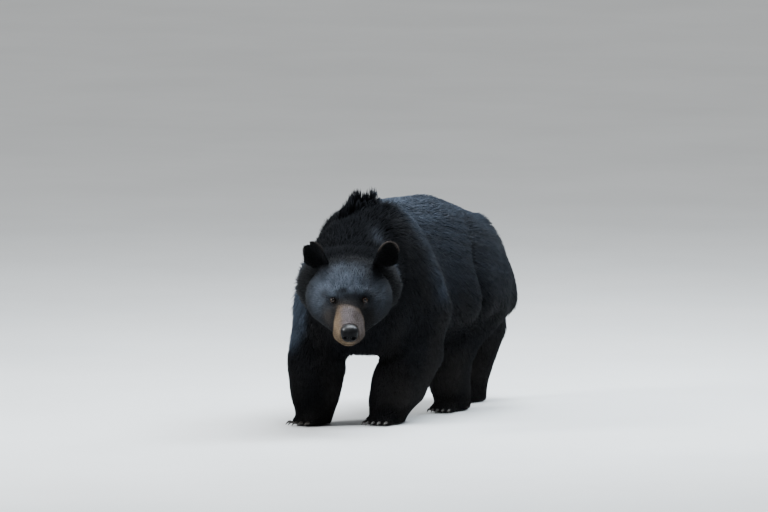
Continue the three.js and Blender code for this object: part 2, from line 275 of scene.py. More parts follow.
headAxes = np.array(Matrix.Rotation(math.radians(headPose["yaw"]), 3, "Z")
                    @ Matrix.Rotation(math.radians(headPose["pitch"]), 3, "X"))
eyeMiddle = (boxMiddle("eye_left") + boxMiddle("eye_right")) / 2
headOrigin = eyeMiddle - headAxes @ np.array([0, headPose["eyeForward"], headPose["eyeUp"]]) / 1000
bodyOrigin = (headOrigin - headPose["fromBody"]) * (1, 1, 0)  # on the floor, in the plane of the spine


def toHead(points):
    return (points - headOrigin) @ headAxes * 1000


def headShare(local, start, end):
    # 1 in the head, 0 behind its neck line and away from it, as on the forelegs below
    return asRange(local[:, 1], start, end) * asRange(np.linalg.norm(local - (0, 20, -20), axis=1), 330, 290)


def fromHead(points):
    return points / 1000 @ headAxes.T + headOrigin


# Markings, painted sheen and painted shade, the same for skin and coat.

markingAndLightColours = {
    "black": (0.0052, 0.0056, 0.0070),
    "brownBlack": (0.0140, 0.0126, 0.0120),
    # the deepest black, used mostly as painted shade in furrows and creases
    "deepBlackAndShade": (0.0030, 0.0032, 0.0038),
    # a brown, used partly as painted light on the lit side and over the hollows' shade
    "cheekBrownAndLight": (0.0420, 0.0360, 0.0320),
    # a painted blue-grey sheen
    "blueSheen": (0.0330, 0.0430, 0.0600),
    # a painted grey-blue sheen
    "greySheen": (0.1150, 0.1390, 0.1780),
    "tan": (0.270, 0.195, 0.128),
    "brown": (0.074, 0.062, 0.060),
    "bridge": (0.195, 0.168, 0.168),
    "lip": (0.066, 0.046, 0.026),
    "earRim": (0.070, 0.056, 0.049),
}

faceMarksAndLight = [
    # colour, middle and radii in the head's millimetres, if on both sides, its share on the left and on the
    # right, and the x between which the share changes; the larger shares on the lit right side are painted
    # light
    ("cheekBrownAndLight", (56, -94, 20), (22, 20, 16), True, (0.5, 0.5), (20, -20)),  # below the eyes: painted light over the shade of the hollows there
    ("greySheen", (-72, -71, 56), (16, 15, 7), False, (0.95, 0.95), (20, -20)),  # the lit edge of the right brow
    ("cheekBrownAndLight", (-53, -86, 40), (10, 14, 15), False, (0.7, 0.7), (20, -20)),  # beside the right eye: painted light over the shade of its orbit
    ("cheekBrownAndLight", (0, -98, 37), (60, 14, 14), False, (0.0, 0.8), (60, -30)),  # over the bridge: painted light, on the lit right side only
    ("cheekBrownAndLight", (82, -95, -30), (26, 34, 46), True, (0.30, 0.85), (20, -20)),  # cheeks: brown, with painted light on the lit right side
]

muzzleMark = {
    # head's y: half width of the tan; its upper end; the bare edge's softness
    "places": [-215, -150, -128, -112, -98], "halfWidths": [90, 84, 61, 48, 34],
    "end": (-82, -106), "soft": 10.0,
}

bodySheenAndShade = {
    # painted sheen and shade: each mark's line in metres from the body's origin, and its width
    # a painted highlight along the lit rim behind the left shoulder
    "shoulderRimSheen": ([(.07, -.165, .885), (.12, -.190, .875), (.175, -.165, .82), (.235, -.140, .72),
                       (.262, -.140, .62), (.266, -.10, .55)], 0.045),
    # painted shade in a band on the left flank below the spine
    "flankShadeBand": ([(.087, .098, .842), (.113, .118, .818), (.142, .132, .786)], 0.022),
    "neckSheen": ([(.128, -.425, .778), (.172, -.452, .735)], 0.027),  # behind the left ear: a painted sheen
    "furrows": {0: 0.040, 2: 0.050, 5: 0.040, 7: 0.040},  # number of the fold: width of the painted shade in it
}


def nearLine(points, line, width):
    # 1 on a line of the body, near 0 at twice its width: the bell curve of the distance
    return np.exp(-(lineDistance(points - bodyOrigin, line) / width) ** 2)


def darkHairAndShade(points):
    # 1 on the nape, the neck and the chest, whose long hair is dull and deep black; as colour it is partly
    # painted shade under the head
    x, y, z = (points - bodyOrigin).T
    nape = asRange(y, -0.16, -0.26) * asRange(z, 0.60, 0.70) * asRange(np.abs(x), 0.14, 0.08)
    return np.maximum(nape, asRange(y, -0.25, -0.35)) * (1 - nearLine(points, *bodySheenAndShade["neckSheen"]))


def shine(points):
    # how glossy the hair is: most along the back, least on the nape, the chest and low down
    height = (points - bodyOrigin)[:, 2]
    share = 0.65 + 0.35 * asRange(height, 0.45, 0.75)
    local = toHead(points)
    inFace = np.maximum(headShare(local, 72, 40),
                        headShare(local, 150, 115) * asRange(np.abs(local[:, 0]), 95, 130))
    return share * (1 - darkHairAndShade(points) * (1 - inFace) * (0.45 + 0.50 * asRange(height, 0.45, 0.65)))


def markingsAndLight(points):
    # the coat's colour at each point: black, tan on the muzzle, a painted sheen along the back, a painted grey
    # sheen on the forehead, and painted shade in furrows and creases
    colour = {name: np.array(value) for name, value in markingAndLightColours.items()}
    local = toHead(points)
    x, y, z = local.T
    bodyX, bodyY, bodyZ = (points - bodyOrigin).T
    result = np.tile(colour["black"], (len(points), 1))

    def lay(name, share):
        result[:] = result + share[:, None] * (colour[name] - result)

    def patch(middle, radii, mirrored=False):
        across = np.abs(x) if mirrored else x
        return np.exp(-(((np.stack([across, y, z], 1) - middle) / radii) ** 2).sum(1))

    lowDown = asRange(points[:, 2], 0.42, 0.10)
    lay("brownBlack", np.clip(lowDown * 0.8 + 0.5 * ripple(points, 0.21, seed=5), 0, 1))
    inHead = headShare(local, 72, 40)
    streaks = ripple(points * (1, 0.35, 1), 0.045, seed=14)
    dark = darkHairAndShade(points) * (1 - inHead)
    # painted sheen: lighter and bluer along the top of the back, on the lit rim behind the left shoulder and
    # behind the left ear
    back = asRange(bodyY + 0.6 * (np.minimum(bodyZ, 0.865) - 0.865), -0.27, -0.17) * (
        0.35 * asRange(bodyZ, 0.42, 0.62) + 0.65 * asRange(bodyZ, 0.62, 0.86))
    rim, neckSheen = (nearLine(points, *bodySheenAndShade[name]) for name in ("shoulderRimSheen", "neckSheen"))
    lay("blueSheen", np.clip((back + 1.1 * rim + neckSheen) * (1 - dark) * (0.85 + 0.25 * streaks), 0, 1))
    # painted shade in the furrows
    for number, width in bodySheenAndShade["furrows"].items():
        lay("deepBlackAndShade", 0.85 * nearLine(points, bodySkin["folds"][number][0], width))
    # painted grey sheen along the top of the back
    lay("greySheen", 0.15 * back * asRange(bodyZ, 0.75, 0.84) * (1 - dark) * (0.6 + 0.7 * streaks))
    # painted shade: the band on the flank darkened back to black
    lay("black", 0.5 * nearLine(points, *bodySheenAndShade["flankShadeBand"]))
    # painted shade along the low edge of the rear belly
    under = np.exp(-((bodyZ - 0.385) / 0.055) ** 2) * asRange(bodyY, 0.04, 0.14)
    lay("deepBlackAndShade", 0.75 * under)
    # partly painted shade: the nape, neck and chest made deep black, less low down
    dark = dark * (0.25 + 0.75 * asRange(bodyZ, 0.40, 0.62))
    lay("deepBlackAndShade", np.clip(dark * (0.85 + 0.25 * ripple(points, 0.06, seed=15)), 0, 1))
    # painted sheen on the lit outer side of the right shoulder and foreleg
    outer = asRange(-bodyX, 0.13, 0.18) * asRange(bodyY, -0.30, -0.38)
    outer *= asRange(bodyZ, 0.28, 0.38) * asRange(bodyZ, 0.70, 0.60)
    lay("blueSheen", 0.9 * outer)
    lay("greySheen", 0.12 * outer)
    # painted sheen on the lit rim of the ruff
    ruffRim = (asRange(y, 78, 104) * asRange(y, 165, 130)
               * asRange(np.abs(x), 130, 158) * asRange(z, -120, -60))
    lay("blueSheen", 0.6 * ruffRim)
    uneven = 7 * ripple(local, 26, seed=11) + 4 * ripple(local, 11, seed=12)
    # painted grey sheen on the forehead and cheeks, wider and stronger on the lit right side
    forehead = np.exp(-((x + 20) / np.where(x > -20, 78, 104)) ** 2) * asRange(z, 38, 72) * (
        0.34 * asRange(y, 44, 4) + 0.48 * asRange(y, 8, -34))
    forehead *= 1 - 0.45 * np.exp(-((x + 2) / 14) ** 2) * asRange(y, -5, 25)  # the middle furrow, with less painted sheen
    strands = (0.84 + 0.26 * ripple(local * (1, 0.25, 0.4), 17, seed=16)
               + 0.14 * ripple(local * (1, 0.4, 0.4), 7, seed=17))
    cheeks = patch((108, -36, 20), (46, 56, 62), True)
    cheeks *= 0.25 + 0.29 * asRange(x, 20, -20)
    lay("greySheen", np.clip((forehead + cheeks) * strands, 0, 1) * inHead)
    lay("deepBlackAndShade", patch((92, 74, 122), (50, 44, 42), True) * 0.95)  # painted shade round the ears' bases
    # a dark patch between the eyes: partly the hair's own colour, partly painted shade of the hollow there
    between = (patch((0, -80, 54), (34, 16, 13)) + patch((-26, -62, 71), (19, 15, 12))
               + patch((34, -84, 50), (28, 18, 15)))
    lay("black", np.clip(0.95 * between + 0.10 * uneven / 7, 0, 0.85))
    # painted shade in the eye sockets, more round the shaded left eye
    socketShade = 0.30 * patch((68, -77, 40), (16, 24, 13), True) + 0.25 * patch((66, -77, 40), (26, 26, 22))
    lay("black", socketShade)
    for name, middle, radii, mirrored, (left, right), span in faceMarksAndLight:
        share = left + (right - left) * asRange(x, *span)
        lay(name, share * patch(middle, radii, mirrored))
    # painted shade in the crease between the face's disc and the ruff
    crease = np.exp(-((y - creasePlace(z) - 7) / 22) ** 2) * asRange(np.abs(x), 80, 120) * asRange(z, 110, 60)
    lay("deepBlackAndShade", crease * 0.75)
    m = muzzleMark
    halfWidth = smoothCurve(np.clip(y, m["places"][0], m["places"][-1]), m["places"], m["halfWidths"])
    muzzle = asRange(np.abs(x) - halfWidth + uneven * 0.6, m["soft"], -m["soft"])
    muzzle *= asRange(y + 0.22 * x + uneven * 0.9, *m["end"]) * asRange(
        y + 0.45 * z + 0.5 * uneven + 0.25 * (x + 34), -78, -106)
    muzzle *= asRange(z, -128, -108)
    lay("tan", muzzle)
    lay("bridge", muzzle * asRange(z + 0.16 * uneven, -46, -6)
        * asRange(np.abs(x + 2 + 0.5 * uneven), 42, 14))
    # browner on the bear's left side of the muzzle: partly its own colour, partly painted shade of that side
    lay("brown", muzzle * asRange(x + 0.6 * uneven, -6, 32) * 0.95)
    lay("brown", muzzle * asRange(y, -122, -98) * 0.5)
    lay("lip", muzzle * asRange(z, -22, -70) * (0.30 + 0.32 * asRange(x, 0, -36)))
    lay("brown", muzzle * asRange(np.abs(x) - halfWidth, -26, -4) * 0.35)
    lay("lip", muzzle * patch((-42, -160, -54), (15, 26, 17)) * 0.55)
    nearMouth = np.abs(z - mouthHeight(y))
    lay("lip", muzzle * asRange(nearMouth, 7, 2) * 0.75)
    return result


# The skin of the body: the solids of flesh as one form, smoothed, then drawn in by the coat's depth.

bodySkin = {
    "voxel": 0.0084,
    "smoothRounds": 34, "restoreRounds": 60,
    "crestTop": 0.892,
    # region: the coat's depth in metres
    "trunkDepth": 0.019, "bellyDepth": 0.024, "neckDepth": 0.023, "legDepth": 0.010, "pawDepth": 0.004,
    "tailDepth": 0.013, "headTuck": 0.012,
    "topThinner": 0.005, "rearThinner": 0.009,  # taken off the depth on top and at the rear
    # [line], width, push: furrows behind the shoulders and before the haunches, and the forms between them
    "folds": [
        # behind the left shoulder, its rear rim, before the left haunch, the barrel's rim, the haunch
        ([(.10, -.160, .885), (.165, -.085, .83), (.215, -.045, .72), (.25, -.010, .62), (.262, .03, .50),
          (.26, .06, .40), (.22, .10, .33)], 0.034, -0.040),
        ([(.12, -.200, .875), (.175, -.165, .82), (.235, -.140, .72), (.262, -.140, .62), (.268, -.09, .50),
          (.262, -.03, .42)], 0.042, 0.018),
        ([(.13, .30, .82), (.17, .28, .76), (.205, .24, .69), (.25, .21, .59), (.262, .24, .50),
          (.262, .245, .44), (.235, .255, .36)], 0.036, -0.042),
        ([(.16, .11, .78), (.225, .10, .70), (.258, .145, .59), (.265, .16, .49)], 0.048, 0.013),
        ([(.16, .43, .74), (.215, .43, .60), (.23, .435, .47), (.21, .385, .37)], 0.055, 0.016),
        # the same on the right
        ([(-.10, -.235, .88), (-.18, -.190, .81), (-.225, -.13, .70), (-.262, -.090, .58),
          (-.262, -.060, .43), (-.22, -.080, .34)], 0.034, -0.034),
        ([(-.18, -.275, .80), (-.23, -.230, .69), (-.262, -.195, .57)], 0.045, 0.014),
        ([(-.14, .305, .80), (-.21, .300, .71), (-.25, .320, .60), (-.25, .350, .48), (-.21, .385, .36)],
         0.034, -0.032),
        ([(-.16, .465, .74), (-.215, .485, .60), (-.225, .535, .47)], 0.055, 0.014),
        # the long hair of the spine parts from the flank
        ([(.075, -.05, .885), (.085, .10, .880), (.095, .22, .855), (.10, .30, .82)], 0.022, -0.012),
        ([(-.085, -.05, .885), (-.095, .10, .880), (-.10, .22, .855)], 0.022, -0.008),
    ],
}


def neighbourMean(points, edges, count):
    total = np.stack([np.bincount(edges[:, 0], points[edges[:, 1], k], len(points))
                      + np.bincount(edges[:, 1], points[edges[:, 0], k], len(points)) for k in range(3)], 1)
    return total / count[:, None]


def relax(points, edges, rounds, share):
    # each round moves a point part of the way to the middle of its neighbours
    count = np.maximum(np.bincount(edges.ravel(), minlength=len(points)), 1)
    for _ in range(rounds):
        points = points + share[:, None] * (neighbourMean(points, edges, count) - points)
    return points


def coatDepth(points):
    # how far the skin lies below the coat's outline
    s = bodySkin
    x, y, z = (points - bodyOrigin).T
    depth = (s["trunkDepth"] - s["topThinner"] * asRange(z, 0.80, 0.88)
             - s["rearThinner"] * asRange(y, 0.42, 0.54))
    depth += ((s["bellyDepth"] - s["trunkDepth"]) * asRange(z, 0.42, 0.32)
              * asRange(np.abs(y + 0.02), 0.42, 0.30))
    depth += (s["neckDepth"] - depth) * asRange(y, -0.25, -0.45) * asRange(z, 0.30, 0.42)
    depth -= (s["rearThinner"] * asRange(y, 0.48, 0.60) * asRange(x, 0.02, 0.10)
              * asRange(z, 0.30, 0.38) * asRange(z, 0.76, 0.66))
    depth += (s["legDepth"] - depth) * asRange(z, 0.33, 0.22)
    depth += (s["pawDepth"] - depth) * asRange(z, 0.16, 0.055)
    tailLow = np.array(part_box("tail")[0]) - bodyOrigin
    depth += ((s["tailDepth"] - depth) * asRange(y, tailLow[1] - 0.03, tailLow[1] + 0.01)
              * asRange(z, 0.46, 0.52))
    return depth


def makeBodySkin():
    flesh = [node.data for name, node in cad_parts.items()
             if not name.startswith(("claw", "eye", "nose", "ear"))]
    joined = joinMeshes("joined", flesh, weldDistance)
    source = addObject("joined", joined)
    remesh = source.modifiers.new("oneForm", "REMESH")
    remesh.mode, remesh.voxel_size = "VOXEL", bodySkin["voxel"]
    bpy.context.view_layer.update()
    mesh = bpy.data.meshes.new_from_object(source.evaluated_get(bpy.context.evaluated_depsgraph_get()))
    bpy.data.objects.remove(source)

    points = readPoints(mesh)
    edges = np.empty(len(mesh.edges) * 2, np.int32)
    mesh.edges.foreach_get("vertices", edges)
    edges = edges.reshape(-1, 2)
    points[:, 2] = np.minimum(points[:, 2], bodySkin["crestTop"])
    share = 0.12 + 0.38 * asRange(points[:, 2], 0.10, 0.26)
    eased = relax(points, edges, bodySkin["smoothRounds"], share)
    writePoints(mesh, eased)
    normals = readNormals(mesh)
    # relaxing shrinks the form: the slow part of what it lost is given back along the normals
    lost = ((points - eased) * normals).sum(1)[:, None]
    points = eased + normals * relax(np.repeat(lost, 3, 1), edges, bodySkin["restoreRounds"], share * 0 + 0.5)
    points -= normals * coatDepth(points)[:, None]
    local = toHead(points)
    tuck = headShare(local, 170, 90)
    points -= normals * (tuck * bodySkin["headTuck"])[:, None]
    for line, width, push in bodySkin["folds"]:
        points += normals * (nearLine(points, line, width) * push)[:, None]
    points = relax(points, edges, 5, share * 0.8)
    points[:, 2] = np.maximum(points[:, 2], 0)
    writePoints(mesh, points)
    return mesh


# The skin of the head: rings along the skull, then pushes for brow, orbits, cheeks and lips.

skullSkin = {
    # y, middle z, half width, up, down, squareness
    "stations": [
        (-184, -50, 46, 37, 48, 2.5), (-150, -52, 57, 58, 63, 2.7), (-112, -54, 63, 84, 71, 2.6),
        (-82, -46, 88, 101, 86, 2.3), (-45, -35, 129, 122, 103, 2.1), (0, -25, 154, 143, 119, 2.1),
        (55, -28, 168, 158, 118, 2.1), (120, -38, 172, 146, 102, 2.1), (185, -38, 140, 108, 80, 2.1),
    ],
    "rings": 118, "around": 176, "noseDome": 17, "rearDome": 26,
    # middle, radii, push along the skin's normal; every row with x above 0 is mirrored
    "pushes": [
        ((62, -58, 73), (32, 20, 16), 10.0),  # brow
        ((0, -66, 70), (16, 24, 22), -4.5),  # hollow between the eyes
        ((0, -112, 26), (30, 36, 24), 7.0),  # the bridge rises to the brow
        ((0, -5, 122), (13, 62, 50), -4.5),  # furrow of the forehead
        ((46, -5, 118), (36, 52, 32), 4.0),  # each half of the forehead
        ((118, -38, 5), (34, 42, 36), 6.0),  # cheekbone
        ((78, -92, 0), (26, 28, 34), -12.0),  # hollow below the eye
        ((128, 0, 74), (34, 36, 28), -5.0),  # temple
        ((48, -150, -76), (16, 34, 15), 4.5),  # whisker pad
        ((0, -150, 4), (24, 44, 14), 2.0),  # bridge
        ((42, -120, -2), (14, 40, 20), -2.5),  # side of the bridge
        ((0, -172, -102), (26, 24, 12), 4.0),  # chin
        ((96, -42, -72), (30, 36, 26), -5.0),  # behind the corner of the mouth
        ((110, 10, -60), (36, 46, 34), 6.0),  # jowl
    ],
    "orbit": 26.0,  # how far from an eyeball's middle the skin is drawn in to it
    "mouthWidth": 3.4, "mouthDepth": 6.5,
    "rearTuck": 20,
    "crease": -13.0, "ruff": 3.0, "cheek": 4.0,  # the face's disc ends in a crease, with the ruff behind it
}
eyes = {
    "place": (64.0, -77.0, 40.0), "radius": 12.4,
    "opening": (0.22, -0.80, 0.52), "gaze": (0.02, -0.79, 0.61),  # directions of the lids' opening and the iris
}


def mouthHeight(forward):
    # height of the line between the lips, from the corner of the mouth to below the nose
    return smoothCurve(np.clip(forward, -202, -50), [-202, -185, -150, -110, -75, -50],
                       [-88, -89, -86, -84, -90, -98])


def creasePlace(z):
    # the head's y where the face's disc meets the ruff
    return 40 + 0.10 * z


def ringSection(angle, side, up, down, square):
    cosine, sine = np.cos(angle), np.sin(angle)
    across = np.sign(cosine) * np.abs(cosine) ** (2 / square) * side
    above = np.sign(sine) * np.abs(sine) ** (2 / square) * np.where(sine > 0, up, down)
    return across, above


def pushAll(points, normals, pushes):
    for (x, y, z), radii, amount in pushes:
        for sign in ([1, -1] if x > 0 else [1]):
            away = (points - np.array([sign * x, y, z])) / radii
            points = points + normals * (amount * np.exp(-(away**2).sum(1)))[:, None]
    return points


def sideOf(place, sign):
    # a place or direction of the left side, or its mirror image on the right
    return np.array(place) * (sign, 1, 1)


def lidOpening(turned):
    # angle from the eye's axis to the lids' edge: an oval, higher above than below
    height = np.where(np.sin(turned) > 0, lidForm["upper"], lidForm["lower"])
    across, above = np.cos(turned) / lidForm["halfWidth"], np.sin(turned) / height
    return np.radians(1 / np.sqrt(across**2 + above**2))


def lidEdge(away, sign):
    # angle of each point from the eye's axis, and the angle of the lids' edge on the same side
    axis, across, up = axisFrame(sideOf(eyes["opening"], sign))
    way = unit(away)
    turned = np.arctan2(way @ up, way @ across) + math.radians(lidForm["tilt"]) * sign
    return np.arccos(np.clip(way @ axis, -1, 1)), lidOpening(turned)


def domeRings(end, reach, value, shares):
    # rings that shrink to a pole along a quarter of an ellipse
    return [(end + reach * math.sin(turn), value, math.cos(turn)) for turn in shares * math.pi / 2]


def makeHeadSkin():
    s = skullSkin
    stations = np.array(s["stations"], float)
    front, rear = stations[0, 0], stations[-1, 0]
    share = np.linspace(0, 1, s["rings"])
    along = front + (rear - front) * (0.45 * share + 0.55 * share**2)  # rings stand closer at the muzzle
    values = smoothCurve(along, stations[:, 0], stations[:, 1:])
    angle = np.linspace(0, 2 * math.pi, s["around"], endpoint=False)[None, :]
    rings = domeRings(front, -s["noseDome"], values[0], np.linspace(1, 0, 9)[1:-1])
    rings += [(y, value, 1) for y, value in zip(along, values)]
    rings += domeRings(rear, s["rearDome"], values[-1], np.linspace(0, 1, 7)[1:-1])
    y = np.array([r[0] for r in rings])
    value = np.array([r[1] for r in rings])
    shrink = np.array([r[2] for r in rings])[:, None]
    across, above = ringSection(angle, value[:, 1:2], value[:, 2:3], value[:, 3:4], value[:, 4:5])
    grid = np.stack([across * shrink, np.broadcast_to(y[:, None], across.shape),
                     above * shrink + value[:, 0:1]], -1)
    points, faces = closedGrid(grid, [0, front - s["noseDome"], values[0][0]],
                               [0, rear + s["rearDome"], values[-1][0]])
    mesh = outwards(makeMesh("headSkin", points, faces))
    normals = readNormals(mesh)
    points = pushAll(points, normals, s["pushes"])
    behind = points[:, 1] - creasePlace(points[:, 2])
    onSide = asRange(np.abs(points[:, 0]), 72, 112) * asRange(points[:, 2], 118, 70)
    form = (s["crease"] * np.exp(-(behind / 20) ** 2) + s["ruff"] * np.exp(-((behind - 48) / 30) ** 2)
            + s["cheek"] * np.exp(-((behind + 40) / 26) ** 2))
    points += normals * (form * onSide)[:, None]
    tuck = asRange(points[:, 1], 115, 190) * s["rearTuck"]
    points -= normals * tuck[:, None]

    # lips: a groove along the mouth's line, with the upper lip a little proud of it
    fromMouth = points[:, 2] - mouthHeight(points[:, 1])
    reach = asRange(points[:, 1], -48, -66)
    groove = -s["mouthDepth"] * np.exp(-(fromMouth / s["mouthWidth"]) ** 2)
    lip = 2.6 * np.exp(-((fromMouth - 8) / 5) ** 2) + 1.6 * np.exp(-((fromMouth + 7) / 5) ** 2)
    points += normals * (reach * (groove + lip))[:, None]

    # orbits: round each eyeball the skin closes in on the ball
    wide = s["orbit"]
    for sign in (1, -1):
        centre = sideOf(eyes["place"], sign)
        axis = unit(sideOf(eyes["opening"], sign))
        away = points - centre
        distance = np.linalg.norm(away, axis=1)
        facing = away @ axis / np.maximum(distance, 1e-6)
        hold = asRange(facing, 0.15, 0.75) * asRange(distance, wide + 10, wide - 4)
        polar, opening = lidEdge(away, sign)
        wanted = eyes["radius"] - 2.0 + 3.6 * asRange(polar - opening, *np.radians([4, 15]))
        moved = distance + hold * (wanted - distance)
        covers = (polar > opening + math.radians(9)) & (facing > -0.2)
        moved = np.where(covers, np.maximum(moved, np.minimum(wanted, eyes["radius"] + 1.4)), moved)
        points += (away / np.maximum(distance, 1e-6)[:, None]) * (moved - distance)[:, None]
    mesh.vertices.foreach_set("co", fromHead(points).astype(np.float32).ravel())
    mesh.update()
    return mesh


# Ears: a cupped plate, closed round its rim.

earForm = {
    # places on the left (1) and the right (-1) in the head's millimetres; splay and turn in degrees
    "place": {1: (146, 72, 153), -1: (131, 72, 153)}, "splay": 14, "turn": 18,
    "halfWidth": 46, "halfHeight": 62, "thickness": 8, "cup": 17, "curl": 10, "base": 0.35, "square": 2.5,
    "notch": (0.46, 0.58),  # shares of the half width and half height left beside the tear
    "columns": 108, "rows": 36,
}


def earAxes(sign):
    return np.array(Matrix.Rotation(math.radians(sign * earForm["splay"]), 3, "Y")
                    @ Matrix.Rotation(math.radians(sign * earForm["turn"]), 3, "Z"))


def earPlace(sign):
    return sideOf(earForm["place"][sign], sign)


def makeEarSkin(sign):
    # rows run from the middle of the back over the rim to the middle of the cup; columns go round
    e = earForm
    theta = np.linspace(0, 2 * math.pi, e["columns"], endpoint=False)[None, :]
    phi = np.linspace(0, math.pi, e["rows"] + 2)[1:-1, None]
    power = e["square"]
    outline = (np.abs(np.cos(theta)) ** power + np.abs(np.sin(theta)) ** power) ** (-1 / power)
    if sign < 0:
        level = theta + math.radians(e["splay"])
        across, above = np.maximum(-np.cos(level), 1e-3), np.maximum(np.sin(level), 1e-3)
        torn = np.maximum(e["notch"][0] / across, e["notch"][1] / above)
        outline = np.where(np.cos(level) < 0, np.minimum(outline, torn), outline)
    radius = np.sin(phi) * outline
    p, q = radius * np.cos(theta), radius * np.sin(theta)
    narrow = 1 + e["base"] * np.clip(-q, 0, 1)  # the lower half stays wide
    bulge = e["cup"] * (1 - p**2 - 0.7 * q**2)
    thickness = np.cos(phi) * e["thickness"] * (1 - 0.35 * np.clip(q, 0, 1))
    y = bulge + thickness - e["curl"] * (p**2) - 3 + 2.0 * np.clip(q, 0, 1)
    local = np.stack([p * e["halfWidth"] * narrow, np.broadcast_to(y, p.shape), q * e["halfHeight"]], -1)
    backPole = [0, e["cup"] + e["thickness"] - 3, 0]
    cupPole = [0, e["cup"] - e["thickness"] - 3, 0]
    points, faces = closedGrid(local, backPole, cupPole)
    points = points @ earAxes(sign).T + earPlace(sign)
    return outwards(makeMesh("earSkin", fromHead(points), faces))


def makeSkin():
    parts = [makeBodySkin(), makeHeadSkin(), makeEarSkin(1), makeEarSkin(-1)]
    sizes = [len(part.vertices) for part in parts]
    mesh = joinMeshes("skin", parts)
    for part in parts:
        bpy.data.meshes.remove(part)
    return mesh, sizes


def unwrap(piece):
    bpy.ops.object.select_all(action="DESELECT")
    piece.select_set(True)
    bpy.context.view_layer.objects.active = piece
    bpy.ops.object.mode_set(mode="EDIT")
    bpy.ops.mesh.select_all(action="SELECT")
    bpy.ops.uv.smart_project(angle_limit=math.radians(70), island_margin=0.002)
    bpy.ops.object.mode_set(mode="OBJECT")
    piece.data.uv_layers[0].name = "OFBake"


# Shader node groups and materials.

def newGroup(name, inputs, outputs):
    group = bpy.data.node_groups.new(name, "ShaderNodeTree")
    for label, kind, value in inputs:
        socket = group.interface.new_socket(label, in_out="INPUT", socket_type=kind)
        if value is not None:
            socket.default_value = value
    for label, kind in outputs:
        group.interface.new_socket(label, in_out="OUTPUT", socket_type=kind)
    return group, group.nodes.new("NodeGroupInput"), group.nodes.new("NodeGroupOutput")


def addNode(tree, kind, values=(), **settings):
    node = tree.nodes.new(kind)
    for key, value in settings.items():
        setattr(node, key, value)
    for key, value in dict(values).items():
        node.inputs[key].default_value = value
    return node


def makeHairGroup():
    # the colour of the markings and painted light, darker at the root and uneven from lock to lock, with
    # roughness and relief
    group, start, end = newGroup("hairTone", [
        ("MarkingAndLight", "NodeSocketColor", None), ("Lock", "NodeSocketFloat", 0.5),
        ("Along", "NodeSocketFloat", 0.5), ("Scale", "NodeSocketFloat", 90.0)], [
        ("Color", "NodeSocketColor"), ("Roughness", "NodeSocketFloat"), ("Height", "NodeSocketFloat")])
    link = group.links.new
    place = addNode(group, "ShaderNodeTexCoord")
    fine = addNode(group, "ShaderNodeTexNoise", {"Detail": 4.0, "Roughness": 0.6})
    link(place.outputs["Object"], fine.inputs["Vector"])
    link(start.outputs["Scale"], fine.inputs["Scale"])
    broad = addNode(group, "ShaderNodeTexNoise", {"Scale": 7.0, "Detail": 2.0})
    link(place.outputs["Object"], broad.inputs["Vector"])
    light = addNode(group, "ShaderNodeMath", {1: 0.55, 2: 0.72}, operation="MULTIPLY_ADD")
    link(start.outputs["Lock"], light.inputs[0])
    tip = addNode(group, "ShaderNodeMapRange", {
        "From Min": 0.0, "From Max": 1.0, "To Min": 0.55, "To Max": 1.15})
    link(start.outputs["Along"], tip.inputs["Value"])
    both = addNode(group, "ShaderNodeMath", operation="MULTIPLY")
    link(light.outputs[0], both.inputs[0])
    link(tip.outputs[0], both.inputs[1])
    patch = addNode(group, "ShaderNodeMapRange", {
        "From Min": 0.3, "From Max": 0.7, "To Min": 0.85, "To Max": 1.2})
    link(broad.outputs["Fac"], patch.inputs["Value"])
    whole = addNode(group, "ShaderNodeMath", operation="MULTIPLY")
    link(both.outputs[0], whole.inputs[0])
    link(patch.outputs[0], whole.inputs[1])
    paint = addNode(group, "ShaderNodeVectorMath", operation="SCALE")
    link(start.outputs["MarkingAndLight"], paint.inputs[0])
    link(whole.outputs[0], paint.inputs["Scale"])
    link(paint.outputs[0], end.inputs["Color"])
    rough = addNode(group, "ShaderNodeMapRange", {
        "From Min": 0.3, "From Max": 0.7, "To Min": 0.60, "To Max": 0.80})
    link(fine.outputs["Fac"], rough.inputs["Value"])
    link(rough.outputs[0], end.inputs["Roughness"])
    link(fine.outputs["Fac"], end.inputs["Height"])
    return group


def makeMottleGroup():
    # mottle: two colours mixed by noise, with a pebbled relief
    group, start, end = newGroup("softMottle", [
        ("Dark", "NodeSocketColor", None), ("Light", "NodeSocketColor", None),
        ("Scale", "NodeSocketFloat", 120.0), ("Pebble", "NodeSocketFloat", 500.0)], [
        ("Color", "NodeSocketColor"), ("Fac", "NodeSocketFloat"), ("Height", "NodeSocketFloat")])
    link = group.links.new
    place = addNode(group, "ShaderNodeTexCoord")
    noise = addNode(group, "ShaderNodeTexNoise", {"Detail": 5.0, "Roughness": 0.6})
    pebble = addNode(group, "ShaderNodeTexVoronoi", feature="F1")
    link(start.outputs["Scale"], noise.inputs["Scale"])
    link(start.outputs["Pebble"], pebble.inputs["Scale"])
    mix = addNode(group, "ShaderNodeMix", data_type="RGBA")
    spread = addNode(group, "ShaderNodeMapRange", {"From Min": 0.35, "From Max": 0.65})
    link(place.outputs["Object"], noise.inputs["Vector"])
    link(place.outputs["Object"], pebble.inputs["Vector"])
    link(noise.outputs["Fac"], spread.inputs["Value"])
    link(spread.outputs[0], mix.inputs["Factor"])
    link(start.outputs["Dark"], mix.inputs["A"])
    link(start.outputs["Light"], mix.inputs["B"])
    link(mix.outputs["Result"], end.inputs["Color"])
    link(spread.outputs[0], end.inputs["Fac"])
    link(pebble.outputs["Distance"], end.inputs["Height"])
    return group


hairGroup = makeHairGroup()
mottleGroup = makeMottleGroup()


def newMaterial(name, settings):
    material = bpy.data.materials.new(name)
    material.use_nodes = True
    shader = material.node_tree.nodes["Principled BSDF"]
    for key, value in settings.items():
        shader.inputs[key].default_value = value
    return material, material.node_tree, shader


